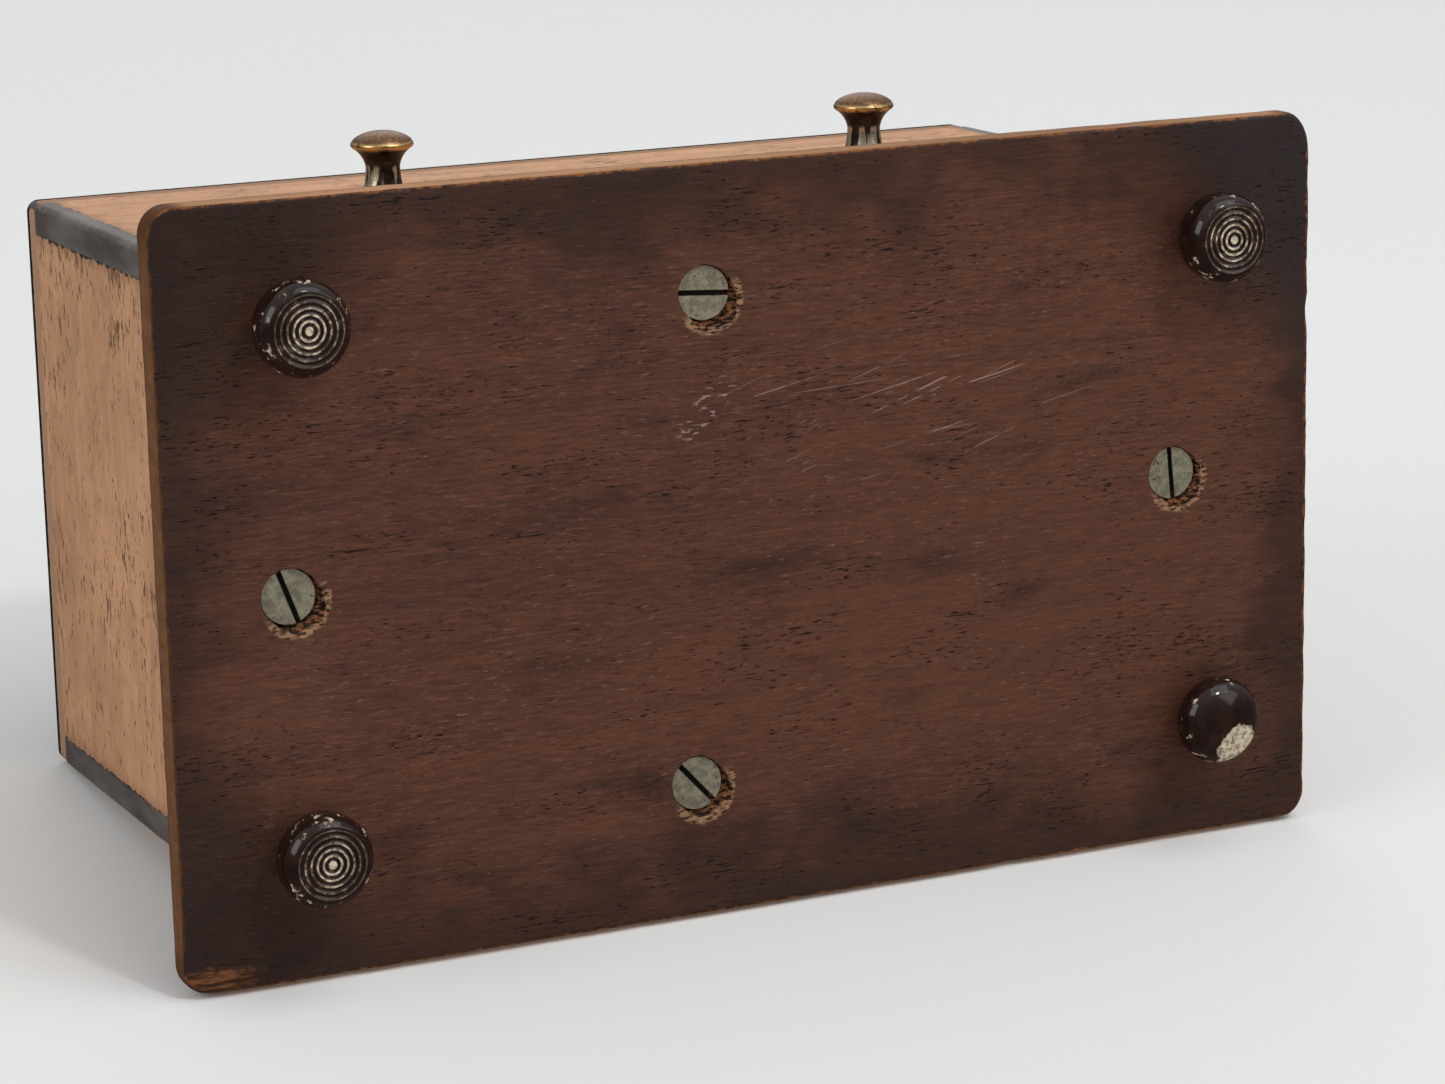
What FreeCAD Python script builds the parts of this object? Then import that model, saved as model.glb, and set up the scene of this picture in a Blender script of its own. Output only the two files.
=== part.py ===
import FreeCAD, Part
import math
import operator
import os
import types

import Sketcher

# A crystal wireless set of the 1920s: a small wooden box on an overhanging base plate with four
# turned feet, an ebonite top that carries the tuner and the cat's-whisker detector, and four
# brass screw terminals. Millimetres, +Z up, front towards -Y. The origin is on the surface that
# the feet stand on, under the middle of the base plate.

SIZES = (
    # case
    ("plate_length", 180.0),
    ("plate_width", 108.4),
    ("plate_thickness", 4.4),
    ("plate_corner", 4.0),
    ("plate_round", 0.8),
    ("case_length", 160.0),
    ("case_width", 87.6),
    ("side_height", 82.0),
    ("wall_thickness", 4.6),
    ("bead_front", 2.8),
    ("bead_round", 1.2),
    ("batten_width", 12.0),
    ("batten_height", 10.0),
    ("block_side", 11.0),
    ("block_height", 24.0),
    ("top_thickness", 4.0),
    ("top_corner", 1.8),
    # feet
    ("foot_height", 9.0),
    ("foot_radius", 6.35),
    ("foot_face_radius", 5.05),
    ("foot_widest_height", 3.3),
    ("foot_neck_radius", 3.0),
    ("foot_neck_height", 7.2),
    ("foot_collar_radius", 3.6),
    ("foot_tip_radius", 1.5),
    ("foot_side_curve", 3.2),
    ("foot_rim_curve", 3.0),
    ("foot_tenon_radius", 2.5),
    ("foot_tenon_length", 3.4),
    ("foot_spread", 71.2),
    ("foot_front", 37.6),
    ("foot_back", 35.4),
    ("ring_pitch", 0.72),
    ("ring_depth", 0.16),
    # wood screws through the base plate
    ("base_screw_head", 3.85),
    ("base_screw_cone", 2.0),
    ("base_screw_sink", 0.35),
    ("base_screw_shank", 1.95),
    ("base_screw_length", 13.0),
    ("base_ream_radius", 4.15),
    ("base_ream_depth", 1.5),
    ("base_ream_shift", 0.75),
    # small machine screws
    ("small_head", 2.6),
    ("small_cone", 1.3),
    ("small_shank", 1.4),
    ("panel_screw_length", 16.0),
    ("panel_screw_inset", 8.6),
    ("slot_width", 0.8),
    ("slot_depth", 0.9),
    # terminals
    ("stud_radius", 1.5),
    ("stud_inner", 7.0),
    ("stud_outer", 8.6),
    ("running_gap", 0.05),
    ("washer_radius", 4.1),
    ("washer_thickness", 0.8),
    ("knob_foot_radius", 3.8),
    ("knob_foot_height", 0.5),
    ("knob_neck_radius", 2.55),
    ("knob_neck_height", 5.6),
    ("knob_rim_radius", 4.5),
    ("knob_rim_low", 9.2),
    ("knob_rim_high", 9.8),
    ("knob_height", 11.5),
    ("knob_bore_depth", 9.0),
    ("knob_flare_curve", 9.0),
    ("knob_waist_curve", 5.2),
    ("nut_radius", 3.2),
    ("nut_thickness", 2.2),
    ("tag_radius", 3.0),
    ("tag_thickness", 0.5),
    ("tag_length", 8.0),
    ("tag_width", 2.4),
    ("phone_spread", 39.3),
    ("phone_height", 55.0),
    ("line_x", 66.0),
    ("line_y", 19.0),
    # tuner
    ("tuner_x", 27.0),
    ("shaft_radius", 3.175),
    ("bush_radius", 4.8),
    ("bush_length", 8.5),
    ("flange_radius", 7.0),
    ("flange_height", 1.4),
    ("bush_nut_radius", 7.6),
    ("bush_nut_thickness", 2.5),
    ("scale_radius", 26.0),
    ("scale_hole", 7.6),
    ("scale_thickness", 0.8),
    ("scale_pin_place", 15.8),
    ("pointer_lift", 2.0),
    ("pointer_radius", 8.0),
    ("pointer_reach", 22.0),
    ("pointer_thickness", 0.8),
    ("dial_skirt_radius", 13.2),
    ("dial_skirt_height", 3.0),
    ("dial_grip_radius", 10.4),
    ("dial_height", 15.0),
    ("dial_skirt_curve", 2.2),
    ("dial_shoulder", 1.6),
    ("dial_shoulder_rise", 1.4),
    ("dial_grip_rise", 2.6),
    ("dial_taper", 0.5),
    ("dial_edge", 1.6),
    ("dial_edge_drop", 1.2),
    ("dial_crown_inset", 1.9),
    ("dial_crown_rise", 0.6),
    ("grub_height", 1.9),
    ("grub_slot_width", 0.6),
    ("flute_radius", 1.3),
    ("collar_radius", 6.0),
    ("collar_height", 3.5),
    ("collar_gap", 0.6),
    ("stator_radius", 30.0),
    ("stator_wall", 1.5),
    ("stator_length", 52.0),
    ("stator_drop", 8.0),
    ("winding_thickness", 0.6),
    ("stator_winding_start", 5.0),
    ("stator_winding_end", 17.5),
    ("pillar_radius", 3.2),
    ("pillar_place", 22.0),
    ("pillar_nut_gap", 0.2),
    ("rotor_radius", 21.0),
    ("rotor_wall", 1.5),
    ("rotor_length", 26.0),
    ("rotor_winding_start", 4.0),
    ("rotor_winding_end", 12.0),
    # detector
    ("arm_post_x", 23.0),
    ("cup_post_x", 60.0),
    ("detector_height", 17.0),
    ("post_foot_radius", 5.5),
    ("post_foot_height", 2.0),
    ("post_shoulder", 1.2),
    ("arm_stem_radius", 3.4),
    ("arm_stem_height", 6.0),
    ("pivot_radius", 1.6),
    ("pivot_height", 2.4),
    ("fork_radius", 4.9),
    ("fork_floor", 3.2),
    ("fork_gap", 6.8),
    ("fork_ear", 1.5),
    ("fork_ear_width", 6.4),
    ("fork_ear_top", 3.2),
    ("fork_end_play", 0.1),
    ("axle_stand", 0.6),
    ("barrel_radius", 2.9),
    ("barrel_length", 6.6),
    ("axle_radius", 1.2),
    ("rod_radius", 1.2),
    ("rod_back", 13.0),
    ("rod_front", 22.0),
    ("collet_radius", 1.9),
    ("collet_length", 4.0),
    ("collet_taper", 0.5),
    ("grip_radius", 4.2),
    ("grip_length", 10.0),
    ("grip_bore", 4.0),
    ("grip_edge", 1.2),
    ("grip_edge_height", 1.0),
    ("grip_band_height", 3.4),
    ("grip_waist_curve", 3.2),
    ("grip_waist_height", 6.2),
    ("coil_radius", 1.1),
    ("coil_wire", 0.22),
    ("coil_pitch", 1.6),
    ("coil_turns", 4.0),
    ("whisker_tip", 3.85),
    ("cup_radius", 5.6),
    ("cup_bore", 4.4),
    ("cup_length", 8.0),
    ("cup_floor", 1.6),
    ("cup_screw_radius", 0.9),
    ("cup_screw_stand", 0.3),
    ("cup_screw_head", 1.7),
    ("cup_screw_head_height", 1.3),
    ("cup_stem_radius", 2.4),
    ("crystal_radius", 3.3),
    ("crystal_side", 5.4),
    ("crystal_depth", 2.6),
    # blocking condenser and wiring
    ("condenser_x", 44.0),
    ("condenser_y", 24.0),
    ("condenser_length", 30.0),
    ("condenser_width", 14.0),
    ("condenser_thickness", 4.0),
    ("condenser_hole_place", 11.0),
    ("condenser_hole_depth", 2.4),
    ("wire_radius", 0.7),
)

UP = FreeCAD.Rotation()
DOWN = FreeCAD.Rotation(FreeCAD.Vector(1, 0, 0), 180)
FORWARD = FreeCAD.Rotation(FreeCAD.Vector(1, 0, 0), 90)
RIGHTWARD = FreeCAD.Rotation(FreeCAD.Vector(0, 1, 0), 90)
LEFTWARD = FreeCAD.Rotation(FreeCAD.Vector(0, 1, 0), -90)
BACKWARD = FreeCAD.Rotation(FreeCAD.Vector(1, 0, 0), -90)

SIGNS = {"+": operator.add, "-": operator.sub, "*": operator.mul, "/": operator.truediv}

# Base screws: place in X and Y from the middle of the plate, and the angle of the slot from X.
BASE_SCREWS = (
    ("front", -9.8, -35.9, 4.0),
    ("back", -12.6, 34.6, 48.0),
    ("left", -72.6, -0.1, 70.0),
    ("right", 66.2, -2.0, 85.0),
)

doc = FreeCAD.newDocument("crystal_set")
nodes = []


class Size:
    """A length together with the sheet expression that gives it."""

    def __init__(self, value, text):
        self.value = value
        self.text = text

    def joined(self, sign, other):
        other = as_size(other)
        value = SIGNS[sign](self.value, other.value)
        return Size(value, f"({self.text} {sign} {other.text})")

    def __add__(self, other):
        return self.joined("+", other)

    def __sub__(self, other):
        return self.joined("-", other)

    def __mul__(self, other):
        return self.joined("*", other)

    def __truediv__(self, other):
        return self.joined("/", other)

    def __neg__(self):
        return Size(-self.value, f"(-1 * {self.text})")


def as_size(length):
    """Return a length as a Size; a plain number stands for itself."""
    return length if isinstance(length, Size) else Size(float(length), str(float(length)))


def fill_sheet():
    """Write the driving dimensions into the sheet and return them by alias."""
    sheet = doc.addObject("Spreadsheet::Sheet", "Sizes")
    for row, (alias, value) in enumerate(SIZES, start=1):
        sheet.set(f"A{row}", alias)
        sheet.set(f"B{row}", str(value))
        sheet.setAlias(f"B{row}", alias)
    doc.recompute()
    return types.SimpleNamespace(**{alias: Size(value, f"Sizes.{alias}") for alias, value in SIZES})


s = fill_sheet()

# Levels, from the surface that the set stands on.
PLATE_LOW = s.foot_height
PLATE_HIGH = PLATE_LOW + s.plate_thickness
SIDE_HIGH = PLATE_HIGH + s.side_height
TOP_HIGH = SIDE_HIGH + s.top_thickness
STATOR_Z = SIDE_HIGH - s.stator_drop - s.stator_radius
DETECTOR_Z = TOP_HIGH + s.detector_height
INNER_X = s.case_length / 2 - s.wall_thickness
INNER_Y = s.case_width / 2 - s.wall_thickness
TUNER_X = -s.tuner_x


# --- building blocks -------------------------------------------------------------------------


def new(kind, name):
    """Add an object with its own Label."""
    obj = doc.addObject(kind, name)
    obj.Label = name
    return obj


def bind(obj, **sizes):
    """Tie each named property to its expression."""
    for name, size in sizes.items():
        size = as_size(size)
        setattr(obj, name, size.value)
        obj.setExpression(name, size.text)


def place(obj, point=(0, 0, 0), turn=UP):
    """Put an object at a point, turned so that its own Z runs along the given direction."""
    sizes = [as_size(coordinate) for coordinate in point]
    obj.Placement = FreeCAD.Placement(FreeCAD.Vector(*[size.value for size in sizes]), turn)
    for letter, size in zip("xyz", sizes):
        obj.setExpression(f"Placement.Base.{letter}", size.text)
    return obj


def node(obj):
    """Keep an object as a sub-part of its own."""
    nodes.append(obj)
    return obj


def block(name, low, high):
    """A box between two corners."""
    obj = new("Part::Box", name)
    sides = [as_size(b) - as_size(a) for a, b in zip(low, high)]
    bind(obj, Length=sides[0], Width=sides[1], Height=sides[2])
    return place(obj, low)


def rod(name, radius, length, point=(0, 0, 0), turn=UP):
    """A cylinder that starts at a point and runs along its own Z."""
    obj = new("Part::Cylinder", name)
    bind(obj, Radius=radius, Height=length)
    return place(obj, point, turn)


def joined(name, *pieces):
    """One solid, or a group of overlapping tools, made of several."""
    obj = new("Part::MultiFuse", name)
    obj.Shapes = list(pieces)
    return obj


def cut(name, base, *tools):
    """The base with every tool taken out of it."""
    obj = new("Part::Cut", name)
    obj.Base = base
    obj.Tool = tools[0] if len(tools) == 1 else joined(name + "_tools", *tools)
    return obj


def group(name, pieces):
    """Identical pieces that share one node as separate solids."""
    obj = new("Part::Compound", name)
    obj.Links = list(pieces)
    return obj


def plane(body, role):
    """One of a body's own origin planes."""
    return next(item for item in body.Origin.OriginFeatures if item.Role == role)


def edge(start, end, bend):
    """A sketch edge, and which of its ends (1 or 2) is its start on the outline."""
    first, last = (FreeCAD.Vector(point[0].value, point[1].value, 0) for point in (start, end))
    if bend is None:
        return Part.LineSegment(first, last), 1
    radius = abs(bend.value)
    chord = last - first
    left = FreeCAD.Vector(-chord.y, chord.x, 0).normalize()
    rise = math.sqrt(max(radius**2 - (chord.Length / 2) ** 2, 0.0))
    centre = (first + last) / 2 + left * math.copysign(rise, bend.value)
    ends = (first, last) if bend.value > 0 else (last, first)
    angles = [math.atan2(point.y - centre.y, point.x - centre.x) for point in ends]
    circle = Part.Circle(centre, FreeCAD.Vector(0, 0, 1), radius)
    return Part.ArcOfCircle(circle, angles[0], angles[1]), 1 if bend.value > 0 else 2


def draw(sketch, outline):
    """Draw a closed outline, anticlockwise. A point's third value, if it has one, is the radius
    of the arc to the next point: positive bulges outwards and negative inwards."""
    points = [tuple(as_size(value) for value in point) for point in outline]
    starts = []
    for here, after in zip(points, points[1:] + points[:1]):
        shape, start = edge(here, after, here[2] if len(here) > 2 else None)
        starts.append((sketch.addGeometry(shape, False), start))
    for (this, start), (following, first) in zip(starts, starts[1:] + starts[:1]):
        sketch.addConstraint(Sketcher.Constraint("Coincident", this, 3 - start, following, first))
    for point, (this, start) in zip(points, starts):
        for kind, axis, size in (("DistanceX", -2, point[0]), ("DistanceY", -1, point[1])):
            if size.value == 0:
                sketch.addConstraint(Sketcher.Constraint("PointOnObject", this, start, axis))
                continue
            fixed = sketch.addConstraint(Sketcher.Constraint(kind, -1, 1, this, start, size.value))
            sketch.setExpression(f"Constraints[{fixed}]", size.text)
        if len(point) > 2:
            size = point[2] if point[2].value > 0 else -point[2]
            fixed = sketch.addConstraint(Sketcher.Constraint("Radius", this, size.value))
            sketch.setExpression(f"Constraints[{fixed}]", size.text)


def outlined(name, role, outline):
    """A new body with one outline on one of its origin planes."""
    body = new("PartDesign::Body", name)
    sketch = body.newObject("Sketcher::SketchObject", name + "_outline")
    sketch.AttachmentSupport = [(plane(body, role), "")]
    sketch.MapMode = "FlatFace"
    draw(sketch, outline)
    return body, sketch


def turned(name, outline, point=(0, 0, 0), turn=UP):
    """A piece turned about its own Z from an outline of (radius, height) points."""
    body, sketch = outlined(name, "XZ_Plane", outline)
    feature = body.newObject("PartDesign::Revolution", name + "_turned")
    feature.Profile = sketch
    feature.ReferenceAxis = (sketch, ["V_Axis"])
    feature.Angle = 360
    return place(body, point, turn)


def padded(name, outline, thickness, point=(0, 0, 0), turn=UP):
    """A flat piece raised along its own Z from an outline in X and Y."""
    body, sketch = outlined(name, "XY_Plane", outline)
    feature = body.newObject("PartDesign::Pad", name + "_pad")
    feature.Profile = sketch
    bind(feature, Length=thickness)
    return place(body, point, turn)


def rectangle(length, width):
    """A rectangle about the origin."""
    x, y = length / 2, width / 2
    return (-x, -y), (x, -y), (x, y), (-x, y)


def dome(radius, rise):
    """The radius of an arc centred on the axis, from a rim of the given radius up to the axis."""
    return (radius * radius + rise * rise) / (rise * 2)


def rounded_rectangle(length, width, corner):
    """A rectangle about the origin with rounded corners."""
    x, y = length / 2, width / 2
    return (
        (-x, corner - y, corner),
        (corner - x, -y),
        (x - corner, -y, corner),
        (x, corner - y),
        (x, y - corner, corner),
        (x - corner, y),
        (corner - x, y, corner),
        (-x, y - corner),
    )


def ring(name, outer, inner, height, point=(0, 0, 0), turn=UP):
    """A plain washer, bush or tube."""
    outline = ((inner, 0), (outer, 0), (outer, height), (inner, height))
    return turned(name, outline, point, turn)


# --- hardware --------------------------------------------------------------------------------


def about_z(angle):
    """A turn about Z by an angle in degrees."""
    return FreeCAD.Rotation(FreeCAD.Vector(0, 0, 1), angle)


def screw(name, head, cone, shank, length, angle):
    """A countersunk slotted screw: head at its own zero, point along its own Z."""
    lip = cone / 10
    outline = ((0, 0), (head, 0), (head, lip), (shank, cone), (shank, length - shank), (0, length))
    strip = rectangle(head * 3, s.slot_width)
    slot = padded(name + "_slot", strip, s.slot_depth, turn=about_z(angle))
    return cut(name, turned(name + "_blank", outline), slot)


def small_screw(name, length, point, turn, angle):
    """One of the small brass machine screws, set in place."""
    made = screw(name, s.small_head, s.small_cone, s.small_shank, length, angle)
    return place(made, point, turn)


def sink(name, point, turn):
    """The countersunk seat of a small screw, with its hole right through the panel."""
    head, shank, cone = s.small_head, s.small_shank, s.small_cone
    through = cone * 8
    outline = ((0, 0), (head, 0), (head, cone / 10), (shank, cone), (shank, through), (0, through))
    return turned(name, outline, point, turn)


def nut(name, across, bore, thickness, point, turn):
    """A hexagon nut."""
    blank = new("Part::Prism", name + "_blank")
    blank.Polygon = 6
    bind(blank, Circumradius=across, Height=thickness)
    return place(cut(name, blank, rod(name + "_bore", bore, thickness)), point, turn)


def tag(name, bore, point, turn):
    """A solder tag: an eye with a tail along its own X."""
    eye = rod(name + "_eye", s.tag_radius, s.tag_thickness)
    tail_low = (s.tag_radius / 2, -s.tag_width / 2, 0)
    tail = block(name + "_tail", tail_low, (s.tag_length, s.tag_width / 2, s.tag_thickness))
    hole = rod(name + "_hole", bore, s.tag_thickness)
    return place(cut(name, joined(name + "_blank", eye, tail), hole), point, turn)


# --- case ------------------------------------------------------------------------------------


def base_screw_places():
    """Name, place and slot angle of each screw that holds the plate to the case."""
    for side, x, y, angle in BASE_SCREWS:
        yield "base_screw_" + side, as_size(x), as_size(y), angle


def foot_places():
    """Name and place of each foot."""
    for side, sign in (("left", -1), ("right", 1)):
        yield "foot_front_" + side, s.foot_spread * sign, -s.foot_front
        yield "foot_back_" + side, s.foot_spread * sign, s.foot_back


def base_plate():
    """The overhanging plate, bored for the feet's tenons and for its four screws."""
    outline = rounded_rectangle(s.plate_length, s.plate_width, s.plate_corner)
    board = padded("base_board", outline, s.plate_thickness, (0, 0, PLATE_LOW))
    doc.recompute()
    pad = board.Tip
    rims = [
        f"Edge{number}"
        for number, rim in enumerate(pad.Shape.Edges, start=1)
        if abs(rim.BoundBox.ZLength) < s.plate_round.value / 2
    ]
    rounding = board.newObject("PartDesign::Fillet", "base_board_rounding")
    rounding.Base = (pad, rims)
    bind(rounding, Radius=s.plate_round)
    tools = []
    for name, x, y in foot_places():
        tools.append(rod(name + "_socket", s.foot_tenon_radius, s.foot_tenon_length, (x, y, PLATE_LOW)))
    for name, x, y, _ in base_screw_places():
        low = PLATE_LOW + s.base_screw_sink
        seat = (
            (0, 0),
            (s.base_screw_head, 0),
            (s.base_screw_head, s.base_screw_cone / 10),
            (s.base_screw_shank, s.base_screw_cone),
            (s.base_screw_shank, s.plate_thickness),
            (0, s.plate_thickness),
        )
        tools.append(turned(name + "_seat", seat, (x, y, low)))
        tools.append(rod(name + "_mouth", s.base_screw_head, s.base_screw_sink, (x, y, PLATE_LOW)))
        deep = s.base_ream_depth
        ream = ((0, 0), (s.base_ream_radius, 0), (s.base_screw_head, deep), (0, deep))
        shift = s.base_ream_shift
        tools.append(turned(name + "_ream", ream, (x + shift, y + shift, PLATE_LOW)))
    node(cut("base_plate", board, *tools))


def feet():
    """Four turned feet, three with a ringed face and one with a plain domed face."""
    top = s.foot_height
    for name, x, y in foot_places():
        if name == "foot_back_right":
            face = [
                (0, 0),
                (s.foot_tip_radius, 0, s.foot_radius * 2),
                (s.foot_radius, s.foot_widest_height, s.foot_side_curve),
            ]
        else:
            face = ringed_face()
        outline = face + [
            (s.foot_neck_radius, s.foot_neck_height),
            (s.foot_collar_radius, top),
            (s.foot_tenon_radius, top),
            (s.foot_tenon_radius, top + s.foot_tenon_length),
            (0, top + s.foot_tenon_length),
        ]
        node(turned(name, outline, (x, y, 0)))


def ringed_face():
    """The flat face of a foot with its concentric grooves, and the rounded rim round it."""
    half = s.ring_pitch / 2
    face = [(0, 0), (half, 0)]
    for turn in range(1, 7):
        middle = s.ring_pitch * turn
        face += [(middle, s.ring_depth), (middle + half, 0)]
    face.append((s.foot_face_radius, 0, s.foot_rim_curve))
    face.append((s.foot_radius, s.foot_widest_height, s.foot_side_curve))
    return face


def base_screws():
    """The steel wood screws through the base plate."""
    screws = []
    for name, x, y, angle in base_screw_places():
        made = screw(
            name, s.base_screw_head, s.base_screw_cone, s.base_screw_shank, s.base_screw_length, angle
        )
        screws.append(place(made, (x, y, PLATE_LOW + s.base_screw_sink)))
    node(group("base_screws", screws))


def panels():
    """The four sides, butted against the beads that run up the corners."""
    x, y, wall, bead = s.case_length / 2, s.case_width / 2, s.wall_thickness, s.bead_front
    front = block("front_board", (bead - x, -y, PLATE_HIGH), (x - bead, wall - y, SIDE_HIGH))
    holes = []
    for side, sign in (("left", -1), ("right", 1)):
        spot = (s.phone_spread * sign, -y, s.phone_height)
        holes.append(rod(f"phone_hole_{side}", s.stud_radius, wall, spot, BACKWARD))
    node(cut("front_panel", front, *holes))
    node(block("back_panel", (bead - x, y - wall, PLATE_HIGH), (x - bead, y, SIDE_HIGH)))
    node(block("left_panel", (-x, wall - y, PLATE_HIGH), (wall - x, y - wall, SIDE_HIGH)))
    node(block("right_panel", (x - wall, wall - y, PLATE_HIGH), (x, y - wall, SIDE_HIGH)))


def corner_beads():
    """Black beads up the four corners, rounded on the outer arris, narrower on the long sides."""
    across, along, bend = s.bead_front, s.wall_thickness, s.bead_round
    beads = []
    for name, x_sign, y_sign, angle in (
        ("front_left", -1, -1, 0),
        ("front_right", 1, -1, 90),
        ("back_right", 1, 1, 180),
        ("back_left", -1, 1, 270),
    ):
        wide, deep = (across, along) if angle in (0, 180) else (along, across)
        outline = ((0, bend, bend), (bend, 0), (wide, 0), (wide, deep), (0, deep))
        corner = (s.case_length / 2 * x_sign, s.case_width / 2 * y_sign, PLATE_HIGH)
        beads.append(padded("bead_" + name, outline, s.side_height, corner, about_z(angle)))
    node(group("corner_beads", beads))


def battens():
    """Strips glued inside round the foot of the case, bored for the base screws."""
    wide, high = s.batten_width, PLATE_HIGH + s.batten_height
    x, y = INNER_X, INNER_Y
    corners = {
        "front": ((-x, -y, PLATE_HIGH), (x, wide - y, high)),
        "back": ((-x, y - wide, PLATE_HIGH), (x, y, high)),
        "left": ((-x, wide - y, PLATE_HIGH), (wide - x, y - wide, high)),
        "right": ((x - wide, wide - y, PLATE_HIGH), (x, y - wide, high)),
    }
    strips = []
    for name, x, y, _ in base_screw_places():
        side = name.rsplit("_", 1)[1]
        strip = block(f"batten_{side}_strip", *corners[side])
        shank, length = s.base_screw_shank, s.base_screw_length
        shaft = ((0, 0), (shank, 0), (shank, length - shank), (0, length))
        pilot = turned(f"batten_{side}_pilot", shaft, (x, y, PLATE_LOW + s.base_screw_sink))
        strips.append(cut(f"batten_{side}", strip, pilot))
    node(group("base_battens", strips))


def top_fixing():
    """Corner blocks under the top, and the four screws that go down into them."""
    blocks, screws, seats = [], [], []
    side, inset = s.block_side, s.panel_screw_inset
    x, y = INNER_X, INNER_Y
    for name, x_sign, y_sign in (("a", -1, -1), ("b", 1, -1), ("c", 1, 1), ("d", -1, 1)):
        low = (x * x_sign - side * ((x_sign + 1) / 2), y * y_sign - side * ((y_sign + 1) / 2))
        timber = block(
            f"corner_block_{name}_timber",
            (*low, SIDE_HIGH - s.block_height),
            (low[0] + side, low[1] + side, SIDE_HIGH),
        )
        spot = ((s.case_length / 2 - inset) * x_sign, (s.case_width / 2 - inset) * y_sign, TOP_HIGH)
        shank, length = s.small_shank, s.panel_screw_length
        outline = ((0, 0), (shank, 0), (shank, length - shank), (0, length))
        pilot = turned(f"corner_pilot_{name}", outline, spot, DOWN)
        blocks.append(cut(f"corner_block_{name}", timber, pilot))
        screws.append(small_screw(f"panel_screw_{name}", length, spot, DOWN, 25))
        seats.append(sink(f"panel_screw_seat_{name}", spot, DOWN))
    node(group("corner_blocks", blocks))
    node(group("panel_screws", screws))
    return seats


# --- terminals -------------------------------------------------------------------------------


def terminal_places():
    """Name, foot point on the outer face, and outward turn of each terminal."""
    front = -s.case_width / 2
    for side, sign in (("left", -1), ("right", 1)):
        yield "phone_" + side, (s.phone_spread * sign, front, s.phone_height), FORWARD, s.wall_thickness
    for name, sign in (("aerial", 1), ("earth", -1)):
        yield name, (-s.line_x, s.line_y * sign, TOP_HIGH), UP, s.top_thickness


def terminals():
    """Each terminal: a fixed stud with nut and tag inside, and a washer and a brass knob outside."""
    studs, nuts = [], []
    for name, point, turn, wall in terminal_places():
        inner = -(wall + s.stud_inner)
        outline = ((0, inner), (s.stud_radius, inner), (s.stud_radius, s.stud_outer), (0, s.stud_outer))
        studs.append(turned(f"{name}_stud", outline, point, turn))
        inward = shifted(point, turn, -wall - s.tag_thickness - s.nut_thickness)
        nuts.append(nut(f"{name}_nut", s.nut_radius, s.stud_radius, s.nut_thickness, inward, turn))
        loose = s.stud_radius + s.running_gap
        node(ring(f"{name}_washer", s.washer_radius, loose, s.washer_thickness, point, turn))
        outer = shifted(point, turn, s.washer_thickness)
        node(turned(f"{name}_knob", knob_outline(loose), outer, turn))
    node(group("terminal_studs", studs))
    node(group("terminal_nuts", nuts))


def knob_outline(bore):
    """A mushroom knob with a flared foot, a waist, a rounded rim and a domed top."""
    return (
        (bore, 0),
        (s.knob_foot_radius, 0),
        (s.knob_foot_radius, s.knob_foot_height, -s.knob_flare_curve),
        (s.knob_neck_radius, s.knob_neck_height, -s.knob_waist_curve),
        (s.knob_rim_radius, s.knob_rim_low),
        (s.knob_rim_radius, s.knob_rim_high, dome(s.knob_rim_radius, s.knob_height - s.knob_rim_high)),
        (0, s.knob_height),
        (0, s.knob_bore_depth),
        (bore, s.knob_bore_depth),
    )


def shifted(point, turn, distance):
    """A point moved along the outward direction that a turn gives."""
    way = turn.multVec(FreeCAD.Vector(0, 0, 1))
    return tuple(as_size(c) + as_size(distance) * round(part) for c, part in zip(point, way))


def solder_tags():
    """Tags under the inner nuts, each with its tail towards its wire."""
    tags = []
    for name, point, turn, wall in terminal_places():
        inward = shifted(point, turn, -wall - s.tag_thickness)
        tags.append(tag(f"{name}_tag", s.stud_radius, inward, turn))
    for name, x in (("arm", s.arm_post_x), ("cup", s.cup_post_x)):
        tags.append(tag(f"{name}_tag", s.stud_radius, (x, 0, SIDE_HIGH - s.tag_thickness), UP))
    node(group("solder_tags", tags))


# --- tuner -----------------------------------------------------------------------------------


def tuner():
    """The variometer: a fixed coil under the top and a coil that turns inside it."""
    axis = (TUNER_X, 0, TOP_HIGH)
    shank = -(s.bush_length - s.flange_height)
    loose = s.shaft_radius + s.running_gap
    outline = (
        (loose, shank),
        (s.bush_radius, shank),
        (s.bush_radius, 0),
        (s.flange_radius, 0),
        (s.flange_radius, s.flange_height),
        (loose, s.flange_height),
    )
    node(turned("tuner_bush", outline, axis))
    below = (TUNER_X, 0, SIDE_HIGH - s.bush_nut_thickness)
    node(nut("tuner_nut", s.bush_nut_radius, s.bush_radius, s.bush_nut_thickness, below, UP))
    pins, holes = [], []
    for name, sign in (("left", -1), ("right", 1)):
        spot = (TUNER_X + s.scale_pin_place * sign, -s.scale_pin_place, TOP_HIGH + s.scale_thickness)
        pins.append(small_screw(f"scale_pin_{name}", s.top_thickness, spot, DOWN, 0))
        holes.append(sink(f"scale_seat_{name}", spot, DOWN))
    blank = ring("scale_blank", s.scale_radius, s.scale_hole, s.scale_thickness, axis)
    node(cut("scale_plate", blank, *holes))
    node(group("scale_pins", pins))
    stator()
    rotor()
    return holes


def tube(name, radius, wall, length, point, turn):
    """A thin former about its own Z, centred on a point."""
    made = ring(name, radius, radius - wall, length)
    return place(made, shifted(point, turn, -length / 2), turn)


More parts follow.
